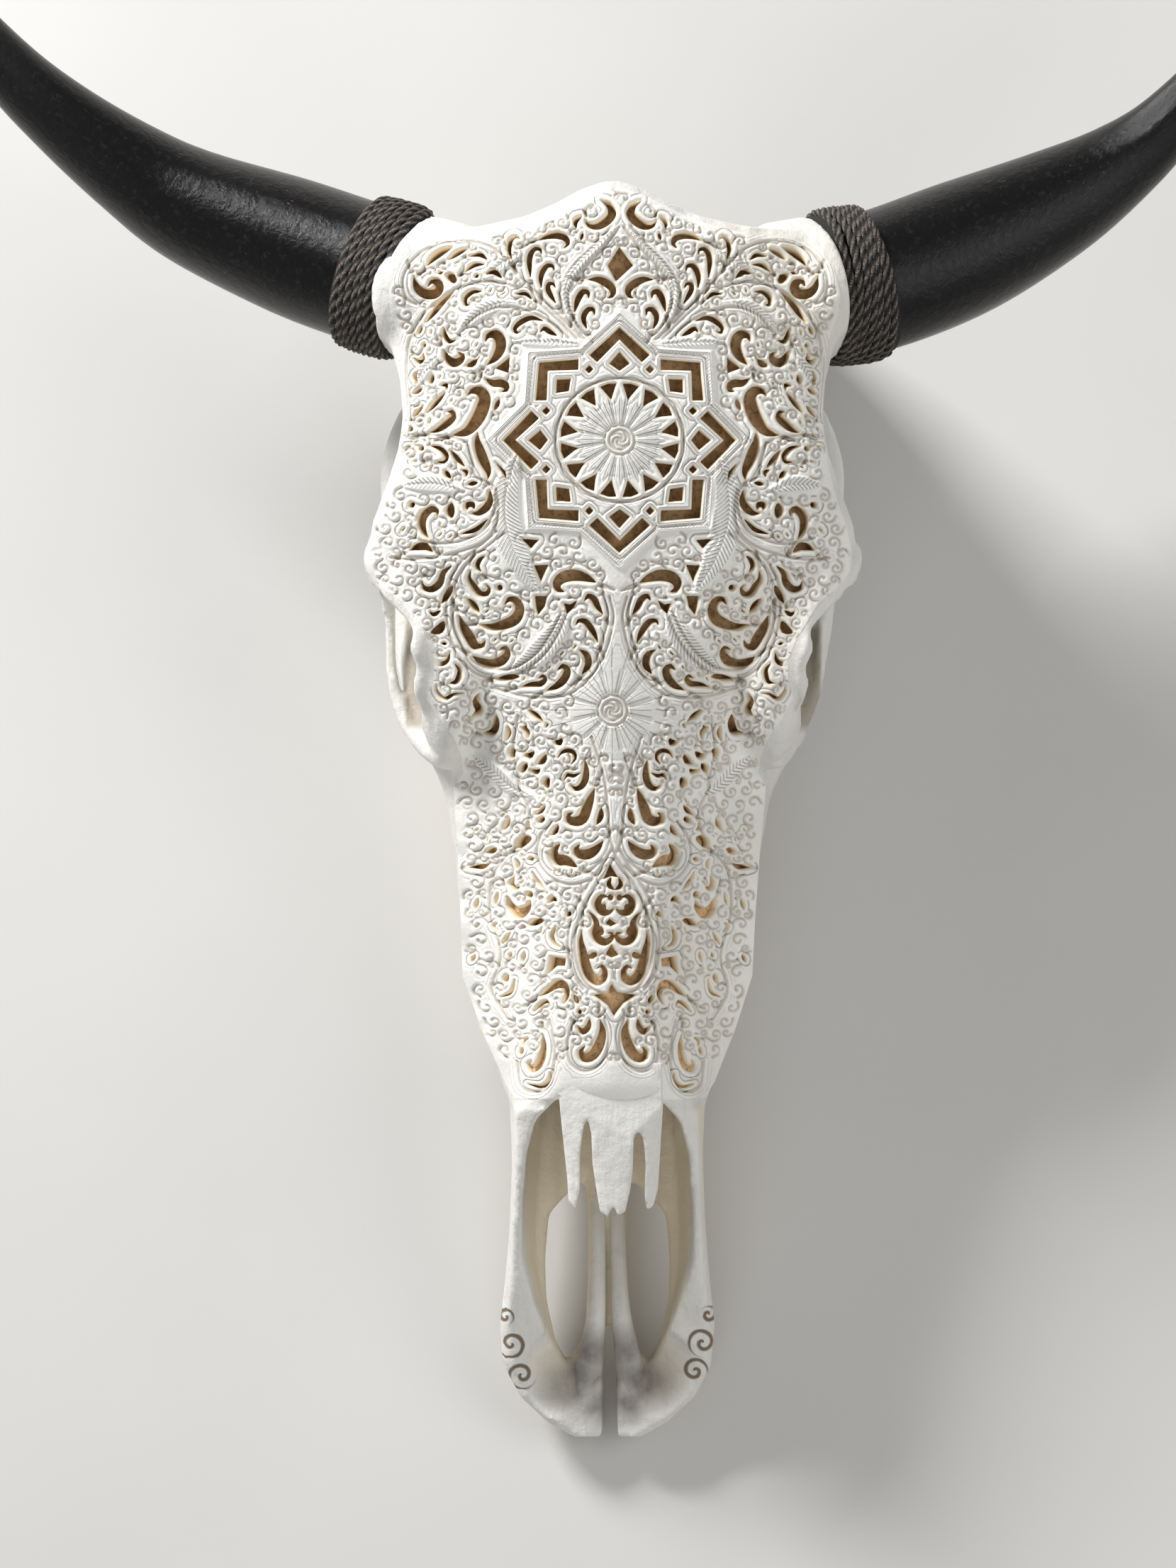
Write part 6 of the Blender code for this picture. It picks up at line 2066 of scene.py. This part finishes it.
# Dust and painted shade: the fine cuts and the grooves are greyed
dust_and_shade_mask = cf.plus(cf.times(fine_cuts, 1.1), grooves)
white = cf.mix(dust_and_shade_mask, bleached(cf, CARVED_WHITE, CARVED_GREY), DUST_AND_SHADE)
edge_gold = cf.span(hole, -0.5, 3.2, 0.8, 0.0)
white = cf.mix(edge_gold, white, (0.80, 0.70, 0.52))
inside = cf.ramp(
    depth,
    ((0.0, (0.86, 0.78, 0.62)), (0.35, (0.84, 0.71, 0.51)), (0.75, (0.70, 0.53, 0.32)),
     (1.0, (0.54, 0.38, 0.20))),
)
cf.color(cf.mix(cf.span(depth, 0.01, 0.08), white, inside))
tooth_marks = cf.span(cf.noise(600.0, detail=3.0), 0.3, 0.7, -0.05, 0.05)
cf.bump(cf.less(tooth_marks, fine_cuts), 0.001, 0.9)
cf.coat(*plates)

# %% [markdown]
# ### Horn
# Polished horn is nearly black, with fine streaks along it that follow its growth, and pale flecks
# where the surface has flaked. The pattern reads the place along and around the horn.

# %% Polished black horn
horn_finish = Finish("black horn", 0.19)
horn_finish.shader.inputs["Specular IOR Level"].default_value = 0.32
along = horn_finish.attribute("along")
side_a = horn_finish.attribute("side_a")
side_b = horn_finish.attribute("side_b")
joined = horn_finish.together(side_a, side_b, horn_finish.times(along, 0.035))
streaks = horn_finish.noise(9.0, detail=6.0, roughness=0.7, place=joined)
black = horn_finish.mix(horn_finish.span(streaks, 0.54, 0.80), (0.005, 0.0045, 0.0045), (0.032, 0.028, 0.026))
drawn_out = horn_finish.together(
    horn_finish.times(side_a, 11.0), horn_finish.times(side_b, 11.0), horn_finish.times(along, 0.16)
)
flecks = horn_finish.noise(2.2, detail=2.0, place=drawn_out)
patches = horn_finish.span(horn_finish.noise(12.0, detail=2.0), 0.55, 0.66)
fleck = horn_finish.times(horn_finish.span(flecks, 0.69, 0.74), patches)
horn_finish.color(horn_finish.mix(horn_finish.times(fleck, 0.75), black, (0.38, 0.35, 0.32)))
horn_finish.bump(horn_finish.span(streaks, 0.3, 0.7), 0.0006, 0.35)
horn_finish.coat(*sheaths)

# %% Dark twisted cord
cord_finish = Finish("dark cord", 0.8)
fibre = cord_finish.noise(1.0, detail=3.0, place=cord_finish.stretched((1500.0, 1500.0, 1500.0)))
# Painted highlight: the crowns of the twisted strands are lighter brown, and the rest keeps the near-black of
# the cord
lit_crowns = cord_finish.span(cord_finish.attribute("crown"), 0.55, 1.0, 0.0, 1.0)
dark = cord_finish.mix(cord_finish.span(fibre, 0.35, 0.7), (0.005, 0.004, 0.0035), (0.020, 0.016, 0.013))
light = cord_finish.mix(cord_finish.span(fibre, 0.4, 0.65), (0.040, 0.033, 0.028), (0.27, 0.225, 0.185))
cord_finish.color(cord_finish.mix(lit_crowns, dark, light))
cord_finish.bump(fibre, 0.0005, 0.7)
cord_finish.coat(*windings)

# %% Enamel and dentine of the cheek teeth
tooth_finish = Finish("worn teeth", 0.32)
layers = tooth_finish.noise(1.0, detail=4.0, place=tooth_finish.stretched((260.0, 260.0, 60.0)))
worn_away = tooth_finish.span(layers, 0.35, 0.7)
tooth_finish.color(tooth_finish.mix(worn_away, (0.78, 0.70, 0.54), (0.42, 0.31, 0.18)))
tooth_finish.bump(layers, 0.0006, 0.5)
teeth = [obj for name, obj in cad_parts.items() if "molar" in name]
tooth_finish.coat(*teeth)
print("teeth:", len(teeth))

# %% [markdown]
# ## Floor and light
# A pale floor and large soft lamps, as in a studio. The main light comes from the upper left, the
# side from which the carving's shadows fall in the photograph.

# %% Floor and lamps
floor_grid = bmesh.new()
bmesh.ops.create_grid(floor_grid, x_segments=1, y_segments=1, size=6.0)
floor = new_object("floor", mesh_from(floor_grid, "floor"))
floor_finish = Finish("pale floor", 0.9)
clouds = floor_finish.span(floor_finish.noise(4.0), 0.4, 0.6)
floor_finish.color(floor_finish.mix(clouds, (0.70, 0.69, 0.67), (0.68, 0.67, 0.65)))
floor_finish.coat(floor)


def lamp(name, place, size, power):
    data = bpy.data.lights.new(name, "AREA")
    data.shape = "RECTANGLE"
    data.size, data.size_y = size
    data.energy = power
    obj = bpy.data.objects.new(name, data)
    obj.location = place
    obj.rotation_euler = (-Vector(place)).to_track_quat("-Z", "Y").to_euler()
    bpy.context.scene.collection.objects.link(obj)


lamp("main", (-1.25, 1.3, 1.05), (0.55, 0.55), 54.0)
lamp("fill", (1.5, -0.2, 1.4), (1.4, 1.4), 12.0)
lamp("front", (-0.2, -1.6, 1.5), (1.2, 1.2), 7.0)
world = bpy.data.worlds.new("studio")
world.use_nodes = True
world.node_tree.nodes["Background"].inputs["Color"].default_value = (1.0, 1.0, 1.0, 1.0)
world.node_tree.nodes["Background"].inputs["Strength"].default_value = 0.23
bpy.context.scene.world = world
bpy.context.scene.view_settings.view_transform = "Standard"

# %% Finish
bpy.context.view_layer.update()
